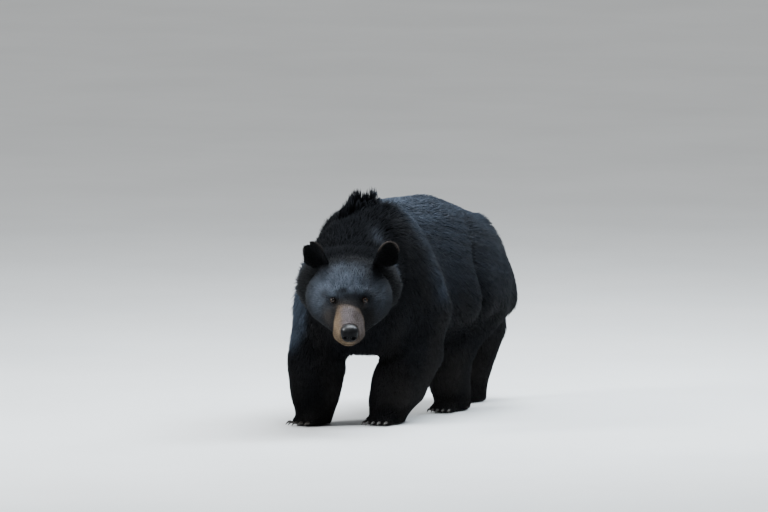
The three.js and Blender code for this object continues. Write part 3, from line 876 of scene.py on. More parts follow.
def placeGroup(tree, group, values):
    node = tree.nodes.new("ShaderNodeGroup")
    node.node_tree = group
    for key, value in values.items():
        node.inputs[key].default_value = value
    return node


def addBump(tree, shader, height, strength, distance):
    bump = addNode(tree, "ShaderNodeBump", {"Strength": strength, "Distance": distance})
    tree.links.new(height, bump.inputs["Height"])
    tree.links.new(bump.outputs["Normal"], shader.inputs["Normal"])


hairFinish = {
    "coat": {"Specular IOR Level": 0.02, "Specular Tint": (0.80, 0.90, 1.0, 1), "Coat Roughness": 0.40},
    "skin": {"Specular IOR Level": 0.02, "Coat Roughness": 0.60},
    "shine": 0.26,
    "scale": {"coat": 260.0, "skin": 170.0},
    "bump": {"coat": (0.25, 0.0015), "skin": (0.5, 0.002)},
}


def makeHairMaterial(name):
    material, tree, shader = newMaterial(name, hairFinish[name])
    markingAndLight = addNode(tree, "ShaderNodeAttribute", attribute_name="markingAndLight")
    strand = addNode(tree, "ShaderNodeAttribute", attribute_name="strand")
    parts = addNode(tree, "ShaderNodeSeparateColor")
    tree.links.new(strand.outputs["Color"], parts.inputs["Color"])
    hair = placeGroup(tree, hairGroup, {"Scale": hairFinish["scale"][name]})
    tree.links.new(markingAndLight.outputs["Color"], hair.inputs["MarkingAndLight"])
    tree.links.new(parts.outputs["Red"], hair.inputs["Lock"])
    tree.links.new(parts.outputs["Green"], hair.inputs["Along"])
    tree.links.new(hair.outputs["Color"], shader.inputs["Base Color"])
    tree.links.new(hair.outputs["Roughness"], shader.inputs["Roughness"])
    glossy = addNode(tree, "ShaderNodeMath", {1: hairFinish["shine"]}, operation="MULTIPLY")
    tree.links.new(parts.outputs["Blue"], glossy.inputs[0])
    tree.links.new(glossy.outputs[0], shader.inputs["Coat Weight"])
    addBump(tree, shader, hair.outputs["Height"], *hairFinish["bump"][name])
    return material


mottleFinish = {
    # name: (dark, light, scale, pebble), (roughness low, high), (bump strength, distance), shader
    "noseLeather": (((0.0018, 0.0019, 0.0022, 1), (0.0045, 0.0046, 0.0054, 1), 90.0, 620.0), (0.34, 0.52),
                    (0.45, 0.0008), {"Specular IOR Level": 0.05, "Coat Roughness": 0.42}),
    "lidSkin": (((0.003, 0.0028, 0.0026, 1), (0.007, 0.0055, 0.0045, 1), 160.0, 900.0), (0.50, 0.70),
                (0.3, 0.0005), {"Specular IOR Level": 0.05}),
    "clawHorn": (((0.014, 0.012, 0.010, 1), (0.060, 0.050, 0.040, 1), 60.0, 300.0), (0.30, 0.48),
                 (0.2, 0.0004), {"Specular IOR Level": 0.55, "Coat Weight": 0.15, "Coat Roughness": 0.25}),
    "floorPaint": (((0.70, 0.71, 0.70, 1), (0.74, 0.75, 0.74, 1), 0.9, 40.0), (0.80, 0.92), (0.02, 0.0005),
                   {"Specular IOR Level": 0.2}),
}


def makeMottled(name):
    (dark, light, scale, pebble), (low, high), bump, settings = mottleFinish[name]
    material, tree, shader = newMaterial(name, settings)
    mottle = placeGroup(tree, mottleGroup, {"Dark": dark, "Light": light, "Scale": scale, "Pebble": pebble})
    tree.links.new(mottle.outputs["Color"], shader.inputs["Base Color"])
    rough = addNode(tree, "ShaderNodeMapRange", {"To Min": low, "To Max": high})
    tree.links.new(mottle.outputs["Fac"], rough.inputs["Value"])
    tree.links.new(rough.outputs[0], shader.inputs["Roughness"])
    addBump(tree, shader, mottle.outputs["Height"], *bump)
    if name == "noseLeather":
        wet = addNode(tree, "ShaderNodeAttribute", attribute_name="wet")
        tree.links.new(wet.outputs["Fac"], shader.inputs["Coat Weight"])
    return material


def makeEyeMaterial():
    material, tree, shader = newMaterial("wetEye", {"Coat Weight": 0.22, "Coat Roughness": 0.05,
                                                   "Specular IOR Level": 0.12})
    facing = addNode(tree, "ShaderNodeAttribute", attribute_name="gaze")
    ramp = addNode(tree, "ShaderNodeValToRGB")
    stops = [(0.0, (0.006, 0.004, 0.003, 1)), (0.55, (0.008, 0.004, 0.003, 1)),
             (0.68, (0.014, 0.007, 0.004, 1)), (0.86, (0.026, 0.013, 0.006, 1)),
             (0.92, (0.012, 0.006, 0.004, 1)), (0.935, (0.002, 0.002, 0.002, 1))]
    ramp.color_ramp.elements[0].position, ramp.color_ramp.elements[0].color = stops[0]
    ramp.color_ramp.elements[1].position, ramp.color_ramp.elements[1].color = stops[-1]
    for position, colour in stops[1:-1]:
        ramp.color_ramp.elements.new(position).color = colour
    place = addNode(tree, "ShaderNodeTexCoord")
    noise = addNode(tree, "ShaderNodeTexNoise", {"Scale": 900.0, "Detail": 3.0})
    wobble = addNode(tree, "ShaderNodeMath", {1: 0.03, 2: -0.015}, operation="MULTIPLY_ADD")
    total = addNode(tree, "ShaderNodeMath", operation="ADD")
    tree.links.new(place.outputs["Object"], noise.inputs["Vector"])
    tree.links.new(noise.outputs["Fac"], wobble.inputs[0])
    tree.links.new(facing.outputs["Fac"], total.inputs[0])
    tree.links.new(wobble.outputs[0], total.inputs[1])
    tree.links.new(total.outputs[0], ramp.inputs["Fac"])
    tree.links.new(ramp.outputs["Color"], shader.inputs["Base Color"])
    rough = addNode(tree, "ShaderNodeMapRange", {"To Min": 0.08, "To Max": 0.16})
    tree.links.new(noise.outputs["Fac"], rough.inputs["Value"])
    tree.links.new(rough.outputs[0], shader.inputs["Roughness"])
    return material


# Eyes and lids.

eyeForm = {"rows": 30, "columns": 40}
lidForm = {
    "halfWidth": 48, "upper": 25, "lower": 23,  # degrees from the eye's axis
    "edge": 1.5, "reach": 22, "sink": 1.0, "rows": 16, "columns": 72, "tilt": 12,
}


def axisFrame(axis):
    # the axis, a level direction across it and one that points up
    axis = unit(np.asarray(axis, float))
    across = unit(np.cross(axis, [0, 0, 1]))
    return axis, across, np.cross(across, axis)


def aroundAxis(polar, theta, directions):
    # the direction at the angle polar from the axis, turned by theta about it
    axis, across, up = directions
    return (np.cos(polar)[..., None] * axis + (np.sin(polar) * np.cos(theta))[..., None] * across
            + (np.sin(polar) * np.sin(theta))[..., None] * up)


def makeEye(sign, material):
    centre = sideOf(eyes["place"], sign)
    axis, across, up = axisFrame(sideOf(eyes["gaze"], sign))
    phi = np.linspace(0, math.pi, eyeForm["rows"] + 2)[1:-1, None]
    theta = np.linspace(0, 2 * math.pi, eyeForm["columns"], endpoint=False)[None, :]
    cornea = 0.7 * np.exp(-(phi / 0.55) ** 2)
    radius = eyes["radius"] + cornea
    grid = centre + radius[..., None] * aroundAxis(phi, theta, (axis, across, up))
    points, faces = closedGrid(grid, centre + (eyes["radius"] + 0.7) * axis, centre - eyes["radius"] * axis)
    mesh = outwards(makeMesh("eye", fromHead(points), faces))
    addShares(mesh, "gaze", np.clip(unit(points - centre) @ axis, 0, 1))
    side = "left" if sign > 0 else "right"
    return addPiece(f"eyeball_{side}", mesh, material, [f"eye_{side}"])


def makeLids(material):
    # each lid ring: from inside its edge, round the edge, then out under the skin
    lids = lidForm
    parts = []
    for sign in (1, -1):
        centre = sideOf(eyes["place"], sign)
        directions = axisFrame(sideOf(eyes["opening"], sign))
        theta = np.linspace(0, 2 * math.pi, lids["columns"], endpoint=False)[None, :]
        turned = theta + math.radians(lids["tilt"]) * sign
        share = np.linspace(0, 1, lids["rows"])[:, None]
        polar = lidOpening(turned) + math.radians(lids["reach"]) * share
        radius = eyes["radius"] - 0.4 + lids["edge"] * asRange(share, 0, 0.25) - lids["sink"] * share**2
        direction = aroundAxis(polar, theta, directions)
        outer = centre + radius[..., None] * direction
        inner = centre + (radius - 1.6)[..., None] * direction
        grid = np.concatenate([outer, inner[::-1]], 0)
        rows, columns = grid.shape[:2]
        row, column = np.meshgrid(np.arange(rows), np.arange(columns), indexing="ij")
        below, after = (row + 1) % rows, (column + 1) % columns
        quads = np.stack([row * columns + column, row * columns + after, below * columns + after,
                          below * columns + column], -1).reshape(-1, 4)
        parts.append(outwards(makeMesh("lid", fromHead(grid.reshape(-1, 3)), quads)))
    return addPiece("eyelids", joinMeshes("eyelids", parts), material)


# Nose pad: a squared ball with nostrils and the groove below them.

noseForm = {
    "place": (2, -188, -39), "radii": (35, 28, 37), "square": 2.4, "rows": 90, "columns": 120,
    "nostril": {"middle": (16.5, -5), "radii": (7.5, 6.0), "depth": 13},
    "slit": {"middle": (27, -10), "radii": (7, 3.6), "depth": 6},
    "groove": {"width": 1.7, "depth": 3.5},
}


def makeNose(material):
    n = noseForm
    phi = np.linspace(0, math.pi, n["rows"] + 2)[1:-1, None]
    theta = np.linspace(0, 2 * math.pi, n["columns"], endpoint=False)[None, :]
    power = 2 / n["square"]
    ring = np.sin(phi) ** power
    x = n["radii"][0] * ring * np.sign(np.cos(theta)) * np.abs(np.cos(theta)) ** power
    z = n["radii"][2] * ring * np.sign(np.sin(theta)) * np.abs(np.sin(theta)) ** power
    y = -n["radii"][1] * np.sign(np.cos(phi)) * np.abs(np.cos(phi)) ** power + 0 * theta
    x = x * (1 + 0.10 * np.clip(z / n["radii"][2], -1, 1))  # wider above
    front = asRange(-y, 0, 9)
    for key in ("nostril", "slit"):
        (cx, cz), (rx, rz), depth = n[key]["middle"], n[key]["radii"], n[key]["depth"]
        away = ((np.abs(x) - cx) / rx) ** 2 + ((z - cz) / rz) ** 2
        y = y + front * depth * np.exp(-away**1.5)
        wing = np.exp(-((np.sqrt(away) - 1.55) / 0.35) ** 2)
        y = y - front * 1.6 * wing
    groove = n["groove"]
    y = y + front * groove["depth"] * np.exp(-(x / groove["width"]) ** 2) * asRange(z, 2, -8)
    grid = np.stack([x, y, z], -1)
    points, faces = closedGrid(grid, [0, -n["radii"][1], 0], [0, n["radii"][1], 0])
    mesh = outwards(makeMesh("nose", fromHead(points + np.array(n["place"])), faces))
    # the upper side is moist, more so on the bear's right
    above = asRange(grid[..., 2] / n["radii"][2] + 0.30 * grid[..., 1] / n["radii"][1], 0.36, 0.80).ravel()
    above *= 0.45 + 0.55 * asRange(x, 20, -6).ravel()
    addShares(mesh, "wet", np.append(above, [0, 0]))
    return addPiece("nosePad", mesh, material, ["nose"])


# Claws: the solids' own shapes, merged and rounded.

def makeClaws(material):
    names = [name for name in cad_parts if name.startswith("claw")]
    mesh = joinMeshes("claws", [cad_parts[name].data for name in names], weldDistance)
    piece = addPiece("claws", mesh, material, names)
    rounding = piece.modifiers.new("rounding", "SUBSURF")
    rounding.levels = rounding.render_levels = 2
    return piece


# The coat.

coat = {
    "bodyTufts": 110000, "faceTufts": 62000, "perPiece": 19500,
    "swirl": 9.0, "clump": 0.011, "gather": 0.24,
    "bakePatch": 0.003,
}


def readTriangles(mesh):
    mesh.calc_loop_triangles()
    count = len(mesh.loop_triangles)
    corners, loops = np.empty(count * 3, np.int32), np.empty(count * 3, np.int32)
    mesh.loop_triangles.foreach_get("vertices", corners)
    mesh.loop_triangles.foreach_get("loops", loops)
    return corners.reshape(-1, 3), loops.reshape(-1, 3)


def scatter(mesh, corners, loops, weight, count, seed):
    # roots spread over the triangles by area times weight
    points, normals = readPoints(mesh), readNormals(mesh)
    uv = np.empty(len(mesh.loops) * 2, np.float32)
    mesh.uv_layers["OFBake"].data.foreach_get("uv", uv)
    uv = uv.reshape(-1, 2)
    a, b, c = (points[corners[:, k]] for k in range(3))
    area = np.linalg.norm(np.cross(b - a, c - a), axis=1) / 2
    total = np.cumsum(area * weight)
    random = np.random.default_rng(seed)
    picks = (np.arange(count) + random.uniform(size=count)) / count * total[-1]
    chosen = np.searchsorted(total, picks)
    u, v = random.uniform(size=(2, count))
    flip = u + v > 1
    u[flip], v[flip] = 1 - u[flip], 1 - v[flip]
    shares = np.stack([1 - u - v, u, v], 1)

    def mix(values, index):
        return (values[index[chosen]] * shares[..., None]).sum(1)

    return mix(points, corners), unit(mix(normals, corners)), mix(uv, loops), chosen


def bodyLie(points, normals):
    # the coat's direction: back along the trunk and neck, down the shoulders, flanks, chest and legs
    x, y, z = (points - bodyOrigin).T
    side = asRange(np.abs(x), 0.08, 0.20)
    back = np.stack([0 * x, 0 * x + 1, -0.12 - 0.75 * side], 1)
    down = np.stack([0.10 * np.sign(x), 0 * x + 0.18, 0 * x - 1], 1)
    legs = asRange(z, 0.44, 0.30) * asRange(np.abs(x), 0.02, 0.07)
    shoulder = np.exp(-((y + 0.24) / 0.14) ** 2) * asRange(z, 0.80, 0.62)
    haunch = np.exp(-((y - 0.46) / 0.15) ** 2) * asRange(z, 0.74, 0.56)
    rear = asRange(y, 0.52, 0.66)
    share = np.clip(legs + 0.75 * shoulder + 0.6 * haunch + rear, 0, 1)
    lie = back * (1 - share[:, None]) + down * share[:, None]
    neckWay = unit(np.array([-0.30, 0.85, 0.10]))
    inNeck = asRange(y, -0.28, -0.40) * asRange(z, 0.50, 0.62)
    lie = lie * (1 - inNeck[:, None]) + neckWay * inNeck[:, None]
    chest = asRange(y, -0.30, -0.42) * asRange(z, 0.58, 0.46)
    lie = lie * (1 - chest[:, None]) + np.array([0.0, 0.05, -1.0]) * chest[:, None]
    paws = asRange(z, 0.085, 0.05)
    lie = lie * (1 - paws[:, None]) + np.array([0.0, -1.0, -0.5]) * paws[:, None]
    return lie


def headLie(points):
    # away from the nose over the face, outwards and down on the cheeks and back into the ruff
    local = toHead(points)
    x, y, z = local.T
    lie = np.stack([0.0022 * x, 0 * x + 1, 0.0028 * (z - 20)], 1)
    cheek = asRange(np.abs(x), 70, 140)
    lie += cheek[:, None] * np.stack([0.25 * np.sign(x), 0 * x - 0.1, 0 * x - 0.55], 1)
    return lie @ headAxes.T


def layAlong(lie, normals, turn):
    # the direction flattened onto the skin, then turned by an angle about the normal
    flat = unit(lie - (lie * normals).sum(1)[:, None] * normals)
    across = np.cross(normals, flat)
    return flat * np.cos(turn)[:, None] + across * np.sin(turn)[:, None]


def lifted(lie, normals, rise):
    # the direction raised off the skin, where rise is the sine of its angle
    return lie * np.sqrt(1 - rise**2)[:, None] + normals * rise[:, None]


def gatherTips(roots, tips, size, share, seed):
    # roots in one small cell make a clump, whose tips draw together
    cells = np.floor((roots + 0.004 * np.stack([ripple(roots, 0.05, seed + k) for k in range(3)], 1)) / size)
    _, group = np.unique(cells.astype(np.int64), axis=0, return_inverse=True)
    group = group.ravel()
    members = np.bincount(group)
    middle = np.stack([np.bincount(group, tips[:, k]) for k in range(3)], 1) / members[:, None]
    lock = np.random.default_rng(seed + 9).uniform(size=len(members))[group]
    return tips + share * (middle[group] - tips), lock


def bladeMesh(name, roots, normals, middles, tips, widths, uv, colour, tone):
    # a tuft is a closed spike of three sides, bent once: two rings of three corners and a tip
    count = len(roots)
    lower, upper = unit(middles - roots), unit(tips - middles)
    across = unit(np.cross(lower, normals))
    ridge0, ridge1 = unit(np.cross(across, lower)), unit(np.cross(across, upper))
    half = widths[:, None] / 2
    points = np.empty((count, 7, 3), np.float32)
    points[:, 0], points[:, 1] = roots - across * half, roots + across * half
    points[:, 2] = roots + ridge0 * half * 0.8
    points[:, 3], points[:, 4] = middles - across * half * 0.8, middles + across * half * 0.8
    points[:, 5] = middles + ridge1 * half * 0.7
    points[:, 6] = tips
    pattern = [(0, 1, 4, 3), (0, 3, 5, 2), (1, 2, 5, 4), (3, 4, 6), (4, 5, 6), (5, 3, 6), (0, 2, 1)]
    patch = np.array([(0, 0), (1, 0), (.5, .15), (0, .5), (1, .5), (.5, .6), (.5, 1)], np.float32)
    along = np.array([0, 0, 0, .5, .5, .5, 1], np.float32)
    return fillMesh(name, points, pattern, patch, along, uv, colour, tone)


def spikeMesh(name, roots, normals, tips, widths, uv, colour, tone):
    # a short tuft is a closed spike of three sides
    count = len(roots)
    ahead = unit(tips - roots)
    across = unit(np.cross(ahead, normals))
    ridge = unit(np.cross(across, ahead))
    half = widths[:, None] / 2
    points = np.empty((count, 4, 3), np.float32)
    points[:, 0], points[:, 1] = roots - across * half, roots + across * half
    points[:, 2], points[:, 3] = roots + ridge * half, tips
    pattern = [(0, 1, 3), (1, 2, 3), (2, 0, 3), (0, 2, 1)]
    patch = np.array([(0, 0), (1, 0), (.5, .2), (.5, 1)], np.float32)
    along = np.array([0.2, 0.2, 0.2, 1], np.float32)
    return fillMesh(name, points, pattern, patch, along, uv, colour, tone)


def fillMesh(name, points, pattern, patch, along, uv, colour, tone):
    # repeats one tuft's faces for every tuft and fills in its map and attributes
    count, corners = points.shape[:2]
    flat = np.array([corner for face in pattern for corner in face], np.int32)
    sizes = np.array([len(face) for face in pattern], np.int32)
    mesh = bpy.data.meshes.new(name)
    mesh.vertices.add(count * corners)
    mesh.vertices.foreach_set("co", points.ravel())
    loops = (flat[None, :] + (np.arange(count) * corners)[:, None]).astype(np.int32).ravel()
    mesh.loops.add(len(loops))
    mesh.loops.foreach_set("vertex_index", loops)
    mesh.polygons.add(count * len(sizes))
    starts = np.concatenate([[0], np.cumsum(np.tile(sizes, count))[:-1]]).astype(np.int32)
    mesh.polygons.foreach_set("loop_start", starts)
    mesh.update(calc_edges=True)
    layer = mesh.uv_layers.new(name="OFBake")
    spots = uv[:, None, :] + (patch[flat][None] - 0.5) * coat["bakePatch"]
    layer.data.foreach_set("uv", np.clip(spots, 0, 1).astype(np.float32).ravel())
    rgba = np.ones((count, corners, 4), np.float32)
    rgba[..., :3] = colour[:, None, :]
    addColours(mesh, "markingAndLight", rgba)
    rgba[..., 0], rgba[..., 1], rgba[..., 2] = tone[:, None], along[None, :], shine(points[:, 0])[:, None]
    addColours(mesh, "strand", rgba)
    mesh.validate()
    return mesh


bodyCoat = {
    # region: tuft length in metres
    "trunk": 0.052, "neck": 0.076, "belly": 0.058, "leg": 0.030, "paw": 0.010,
    "width": 0.0040, "flatten": 8.0, "fill": 0.88,
    "lower": 0.47, "upper": 0.53,  # a tuft's length is shared out below and above its bend
}


def growBodyCoat(mesh, corners, loops, bodyCount, material):
    c = bodyCoat
    points = readPoints(mesh)
    middle = points[corners].mean(1)
    local = toHead(middle)
    onBody = (corners[:, 0] < bodyCount) * (1 - headShare(local, 75, 55))
    weight = onBody * (0.55 + 0.45 * asRange(middle[:, 2], 0.9, 0.3)) * asRange(middle[:, 2], 0.004, 0.02)
    weight = weight * (1 + 1.6 * asRange(middle[:, 2], 0.30, 0.12))
    roots, normals, uv, _ = scatter(mesh, corners, loops, weight, coat["bodyTufts"], seed=21)
    order = np.argsort(roots[:, 1])
    roots, normals, uv = roots[order], normals[order], uv[order]
    count = len(roots)
    x, y, z = (roots - bodyOrigin).T
    random = np.random.default_rng(22)

    length = np.full(count, c["trunk"])
    length += (c["belly"] - length) * asRange(z, 0.40, 0.33) * asRange(np.abs(y + 0.02), 0.45, 0.30)
    length += (c["neck"] - length) * asRange(y, -0.22, -0.42) * asRange(z, 0.35, 0.5)
    length += (c["leg"] - length) * asRange(z, 0.36, 0.20)
    length += (c["paw"] - length) * asRange(z, 0.13, 0.06)
    length *= random.uniform(0.75, 1.15, count)

    turn = (np.radians(coat["swirl"]) * ripple(roots, 0.16, seed=31)
            + np.radians(6) * ripple(roots, 0.04, seed=33))
    turn += np.radians(7) * random.normal(size=count)
    lie = layAlong(bodyLie(roots, normals), normals, turn)
    depth = coatDepth(roots)
    rise = np.clip(c["fill"] * depth / (c["lower"] * length), 0.12, 0.56) * random.uniform(0.80, 1.08, count)
    flat = np.radians(c["flatten"]) * random.uniform(0.2, 1.4, count)
    middles = roots + length[:, None] * c["lower"] * lifted(lie, normals, rise)
    tips = middles + length[:, None] * c["upper"] * (
        lie * np.cos(flat)[:, None] + normals * np.sin(flat)[:, None])

    # the standing hair of the withers leans up and back to uneven tips
    stand = nearLine(roots, crestSettings["line"], crestSettings["width"])
    stand *= asRange(z, *crestSettings["from"])
    standing = stand > 0.30
    spread = random.normal(size=(count, 3)) * (0.22, 0.22, 0.1)
    sway = np.stack([ripple(roots, 0.045, seed=41), ripple(roots, 0.05, seed=43), 0 * x], 1)
    locks = np.array(crestSettings["locks"]) / 1000
    flatRoots = (roots - bodyOrigin)[:, :2]
    gap = np.linalg.norm(flatRoots[:, None, :] - locks[None, :, :2], axis=2)
    own = np.argmin(gap + random.uniform(0, 0.014, gap.shape), axis=1)
    aside = flatRoots - locks[own, :2]
    reach = np.linalg.norm(aside, axis=1)
    wanted = np.concatenate([locks[own, :2] + 0.30 * aside + (0.002, 0.004), locks[own, 2:]], 1) + bodyOrigin
    wanted[:, 2] -= 0.95 * np.maximum(reach - 0.010, 0)
    wanted = (roots + (wanted - roots) * random.uniform(0.70, 1.06, count)[:, None]
              + spread * 0.012 + sway * 0.004)
    standing &= wanted[:, 2] > roots[:, 2] + 0.012
    tips = np.where(standing[:, None], wanted, tips)
    bow = roots + 0.55 * (wanted - roots) + np.stack(
        [0.10 * aside[:, 0], 0.10 * aside[:, 1], 0.006 + 0 * x], 1)
    middles = np.where(standing[:, None], bow, middles)
    tips, lock = gatherTips(roots, tips, coat["clump"], coat["gather"], seed=51)
    tips[:, 2] = np.clip(tips[:, 2], 0.003, cadHigh[2])
    middles[:, 2] = np.maximum(middles[:, 2], 0.003)
    width = c["width"] * np.clip(length / c["trunk"], 0.45, 1.2) * random.uniform(0.75, 1.25, count)
    width *= 1 + 0.25 * standing
    tone = np.clip(0.5 * lock + 0.5 * random.uniform(size=count), 0, 1)
    colour = markingsAndLight(roots)
    piecesNeeded = math.ceil(count / coat["perPiece"])
    for number, part in enumerate(np.array_split(np.arange(count), piecesNeeded), 1):
        blades = bladeMesh(f"coat_body_{number}", roots[part], normals[part], middles[part], tips[part],
                           width[part], uv[part], colour[part], tone[part])
        addPiece(f"coat_body_{number}", blades, material)


crestSettings = {
    "from": (0.77, 0.81), "width": 0.048,
    "line": [(-.060, -.356, .84), (-.040, -.325, .87), (-.024, -.293, .87), (-.013, -.258, .87),
             (.006, -.200, .87)],
    # foot's x and y and the tip's height of each lock, in millimetres
    "locks": [(-66, -366, 858), (-60, -354, 872), (-53, -342, 887), (-46, -330, 903), (-38, -316, 919),
              (-31, -303, 936), (-25, -292, 944), (-20, -282, 940),
              (-14, -270, 929), (-10, -256, 922), (-5, -242, 928), (-1, -229, 940), (3, -218, 944),
              (6, -207, 943), (9, -195, 936), (12, -183, 896),
              (-50, -295, 908), (-40, -270, 900), (-30, -240, 898), (-22, -215, 906), (-15, -195, 898),
              (-4, -305, 900), (6, -280, 895), (16, -250, 892), (24, -225, 898), (28, -200, 896)],
}

faceCoat = {
    # head's y in millimetres: tuft length in metres
    "places": [-205, -165, -120, -85, -50, 0, 36, 56, 80, 120, 190],
    "lengths": [0.0042, 0.0056, 0.0066, 0.0086, 0.0120, 0.0180, 0.0240, 0.0320, 0.0420, 0.0480, 0.0560],
    "widths": [0.0013, 0.0015, 0.0017, 0.0021, 0.0025, 0.0027, 0.0028, 0.0032, 0.0036, 0.0040, 0.0044],
    "rises": [0.22, 0.22, 0.25, 0.34, 0.40, 0.44, 0.42, 0.44, 0.42, 0.34, 0.30],
    "dense": [5.5, 5.5, 5.0, 4.2, 3.2, 2.4, 2.2, 1.7, 1.4, 1.0, 0.6],
}


def growFaceCoat(mesh, corners, loops, bodyCount, headCount, material):
    f = faceCoat
    middle = readPoints(mesh)[corners].mean(1)
    local = toHead(middle)
    onHead = (corners[:, 0] >= bodyCount) & (corners[:, 0] < bodyCount + headCount)
    dense = smoothCurve(np.clip(local[:, 1], -205, 190), f["places"], f["dense"])
    clear = np.ones(len(middle))
    for sign in (1, -1):  # no roots in the eyes' openings
        away = local - sideOf(eyes["place"], sign)
        polar, opening = lidEdge(away, sign)
        clear *= (np.linalg.norm(away, axis=1) > eyes["radius"] + 8) | (polar > opening + math.radians(13))
    nose = (local - np.array(noseForm["place"])) / (np.array(noseForm["radii"]) + 1.0)
    clear *= (np.abs(nose) ** 2.5).sum(1) > 1
    inMouth = np.abs(local[:, 2] - mouthHeight(local[:, 1])) < 2.6
    clear *= ~(inMouth & (local[:, 1] < -60))
    weight = onHead * np.maximum(dense, 0.4) * clear * asRange(local[:, 1], 200, 150)
    roots, normals, uv, _ = scatter(mesh, corners, loops, weight, coat["faceTufts"], seed=61)
    local = toHead(roots)
    along = np.clip(local[:, 1], -205, 190)
    random = np.random.default_rng(62)
    count = len(roots)
    length = smoothCurve(along, f["places"], f["lengths"]) * random.uniform(0.65, 1.3, count)
    jowl = asRange(np.abs(local[:, 0]), 80, 150) * asRange(local[:, 1], -60, 0)
    length *= 1 + 0.35 * jowl
    width = smoothCurve(along, f["places"], f["widths"]) * random.uniform(0.8, 1.2, count)
    rise = smoothCurve(along, f["places"], f["rises"]) * random.uniform(0.7, 1.25, count)
    # the crown lies flatter than the ruff
    rise *= 1 - 0.40 * asRange(local[:, 2], 70, 105) * asRange(along, 40, 70)
    turn = np.radians(10) * ripple(local, 60, seed=71) + np.radians(9) * random.normal(size=count)
    way = headLie(roots)
    for sign in (1, -1):  # round the eyes the hair is shorter and leads away from them
        away = local - sideOf(eyes["place"], sign)
        near = asRange(np.linalg.norm(away, axis=1), 34, 17)
        length *= 1 - 0.62 * near
        width *= 1 - 0.30 * near
        way = way + (1.6 * near)[:, None] * (unit(away) @ headAxes.T)
    lie = layAlong(way, normals, turn)
    tips = roots + length[:, None] * lifted(lie, normals, rise)
    tips, lock = gatherTips(roots, tips, 0.0075, 0.35, seed=81)
    tone = np.clip(0.5 * lock + 0.5 * random.uniform(size=count), 0, 1)
    colour = markingsAndLight(roots)
    short = local[:, 1] < 20
    spikes = spikeMesh("coat_face", roots[short], normals[short], tips[short], width[short], uv[short],
                       colour[short], tone[short])
    addPiece("coat_face", spikes, material)
    long = np.flatnonzero(~short)
    bend = roots[long] + 0.5 * (tips[long] - roots[long]) + normals[long] * (0.10 * length[long])[:, None]
    perPiece = math.ceil(len(long) / coat["perPiece"])
    for number, part in enumerate(np.array_split(np.arange(len(long)), perPiece), 1):
        which = long[part]
        blades = bladeMesh(f"coat_ruff_{number}", roots[which], normals[which], bend[part], tips[which],
                           width[which], uv[which], colour[which], tone[which])
        addPiece(f"coat_ruff_{number}", blades, material)


earCoat = {"tufts": 12000, "length": 0.008, "inside": 0.017, "width": 0.0018, "rise": 0.34}


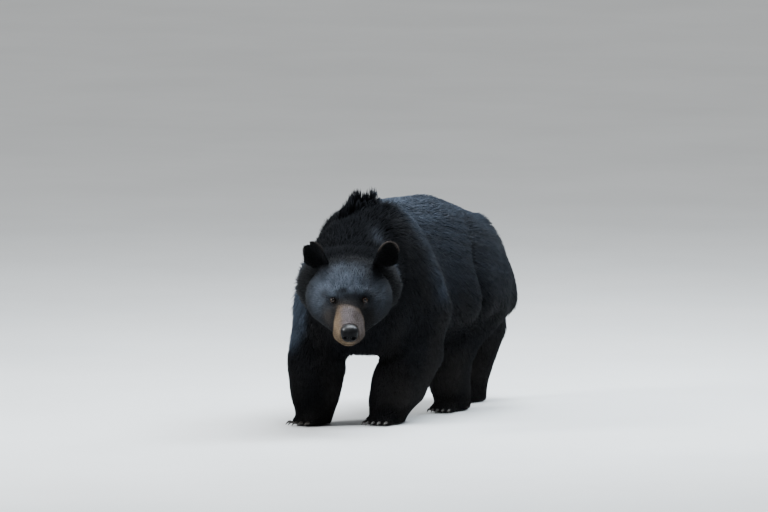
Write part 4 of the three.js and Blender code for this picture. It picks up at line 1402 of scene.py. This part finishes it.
def growEarCoat(mesh, corners, loops, firstEar, earCount, material):
    # short hair from the base to the rim outside, longer hair across the cup inside
    e = earCoat
    onEar = (corners[:, 0] >= firstEar).astype(float)
    roots, normals, uv, chosen = scatter(mesh, corners, loops, onEar, e["tufts"], seed=91)
    sign = np.where(corners[chosen, 0] < firstEar + earCount, 1, -1)
    random = np.random.default_rng(92)
    count = len(roots)
    local = toHead(roots)
    colour = markingsAndLight(roots)
    lie = np.empty((count, 3))
    inner = np.zeros(count)
    for side in (1, -1):
        mine = sign == side
        own = (local[mine] - earPlace(side)) @ earAxes(side)
        ownNormal = normals[mine] @ headAxes @ earAxes(side)
        way = np.stack([0.35 * own[:, 0] / 40, 0 * own[:, 0], 0 * own[:, 0] + 1], 1)
        lie[mine] = way @ earAxes(side).T @ headAxes.T
        inner[mine] = asRange(-ownNormal[:, 1], 0.1, 0.6) * asRange(own[:, 2], 45, 10)
        rim = np.sqrt((own[:, 0] / earForm["halfWidth"]) ** 2 + (own[:, 2] / earForm["halfHeight"]) ** 2)
        brown = asRange(rim, 0.86, 0.98) * asRange(own[:, 2], 10, 45) * (1.0 if side > 0 else 0.25)
        colour[mine] += brown[:, None] * (np.array(markingAndLightColours["earRim"]) - colour[mine])
    turn = np.radians(10) * random.normal(size=count)
    lie = layAlong(lie, normals, turn)
    length = (e["length"] + (e["inside"] - e["length"]) * inner) * random.uniform(0.7, 1.2, count)
    rise = (e["rise"] + 0.15 * inner) * random.uniform(0.7, 1.2, count)
    tips = roots + length[:, None] * lifted(lie, normals, rise)
    tips, lock = gatherTips(roots, tips, 0.006, 0.35, seed=95)
    width = e["width"] * random.uniform(0.8, 1.2, count)
    spikes = spikeMesh("coat_ears", roots, normals, tips, width, uv, colour, 0.5 * lock + 0.25)
    addPiece("coat_ears", spikes, material)


# Making it all.

makeCamera()
makeLights()

floorMesh = makeMesh("floor", [(-90, -90, 0), (90, -90, 0), (90, 90, 0), (-90, 90, 0)], [(0, 1, 2, 3)])
floorMesh.materials.append(makeMottled("floorPaint"))
floor = addObject("floor", floorMesh)
print("stage ready")

fleshNodes = [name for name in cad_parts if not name.startswith(("claw", "eye", "nose"))]
skinMesh, (bodyCount, headCount, earCount, _) = makeSkin()
coatMaterial, skinMaterial = makeHairMaterial("coat"), makeHairMaterial("skin")
skin = addPiece("skin", skinMesh, skinMaterial, fleshNodes)
unwrap(skin)
skinPoints = readPoints(skinMesh)
rgba = np.ones((len(skinPoints), 4), np.float32)
rgba[:, :3] = markingsAndLight(skinPoints) * 0.8
addColours(skinMesh, "markingAndLight", rgba)
rgba[:, :3] = (0.3, 0.2, 0)
addColours(skinMesh, "strand", rgba)
print("skin ready:", len(skinMesh.polygons), "faces")

eyeMaterial = makeEyeMaterial()
for sign in (1, -1):
    makeEye(sign, eyeMaterial)
makeLids(makeMottled("lidSkin"))
makeNose(makeMottled("noseLeather"))
makeClaws(makeMottled("clawHorn"))
print("eyes, nose and claws ready")

skinCorners, skinLoops = readTriangles(skinMesh)
growBodyCoat(skinMesh, skinCorners, skinLoops, bodyCount, coatMaterial)
print("body coat ready")
growFaceCoat(skinMesh, skinCorners, skinLoops, bodyCount, headCount, coatMaterial)
growEarCoat(skinMesh, skinCorners, skinLoops, bodyCount + headCount, earCount, coatMaterial)
print("face and ears ready")
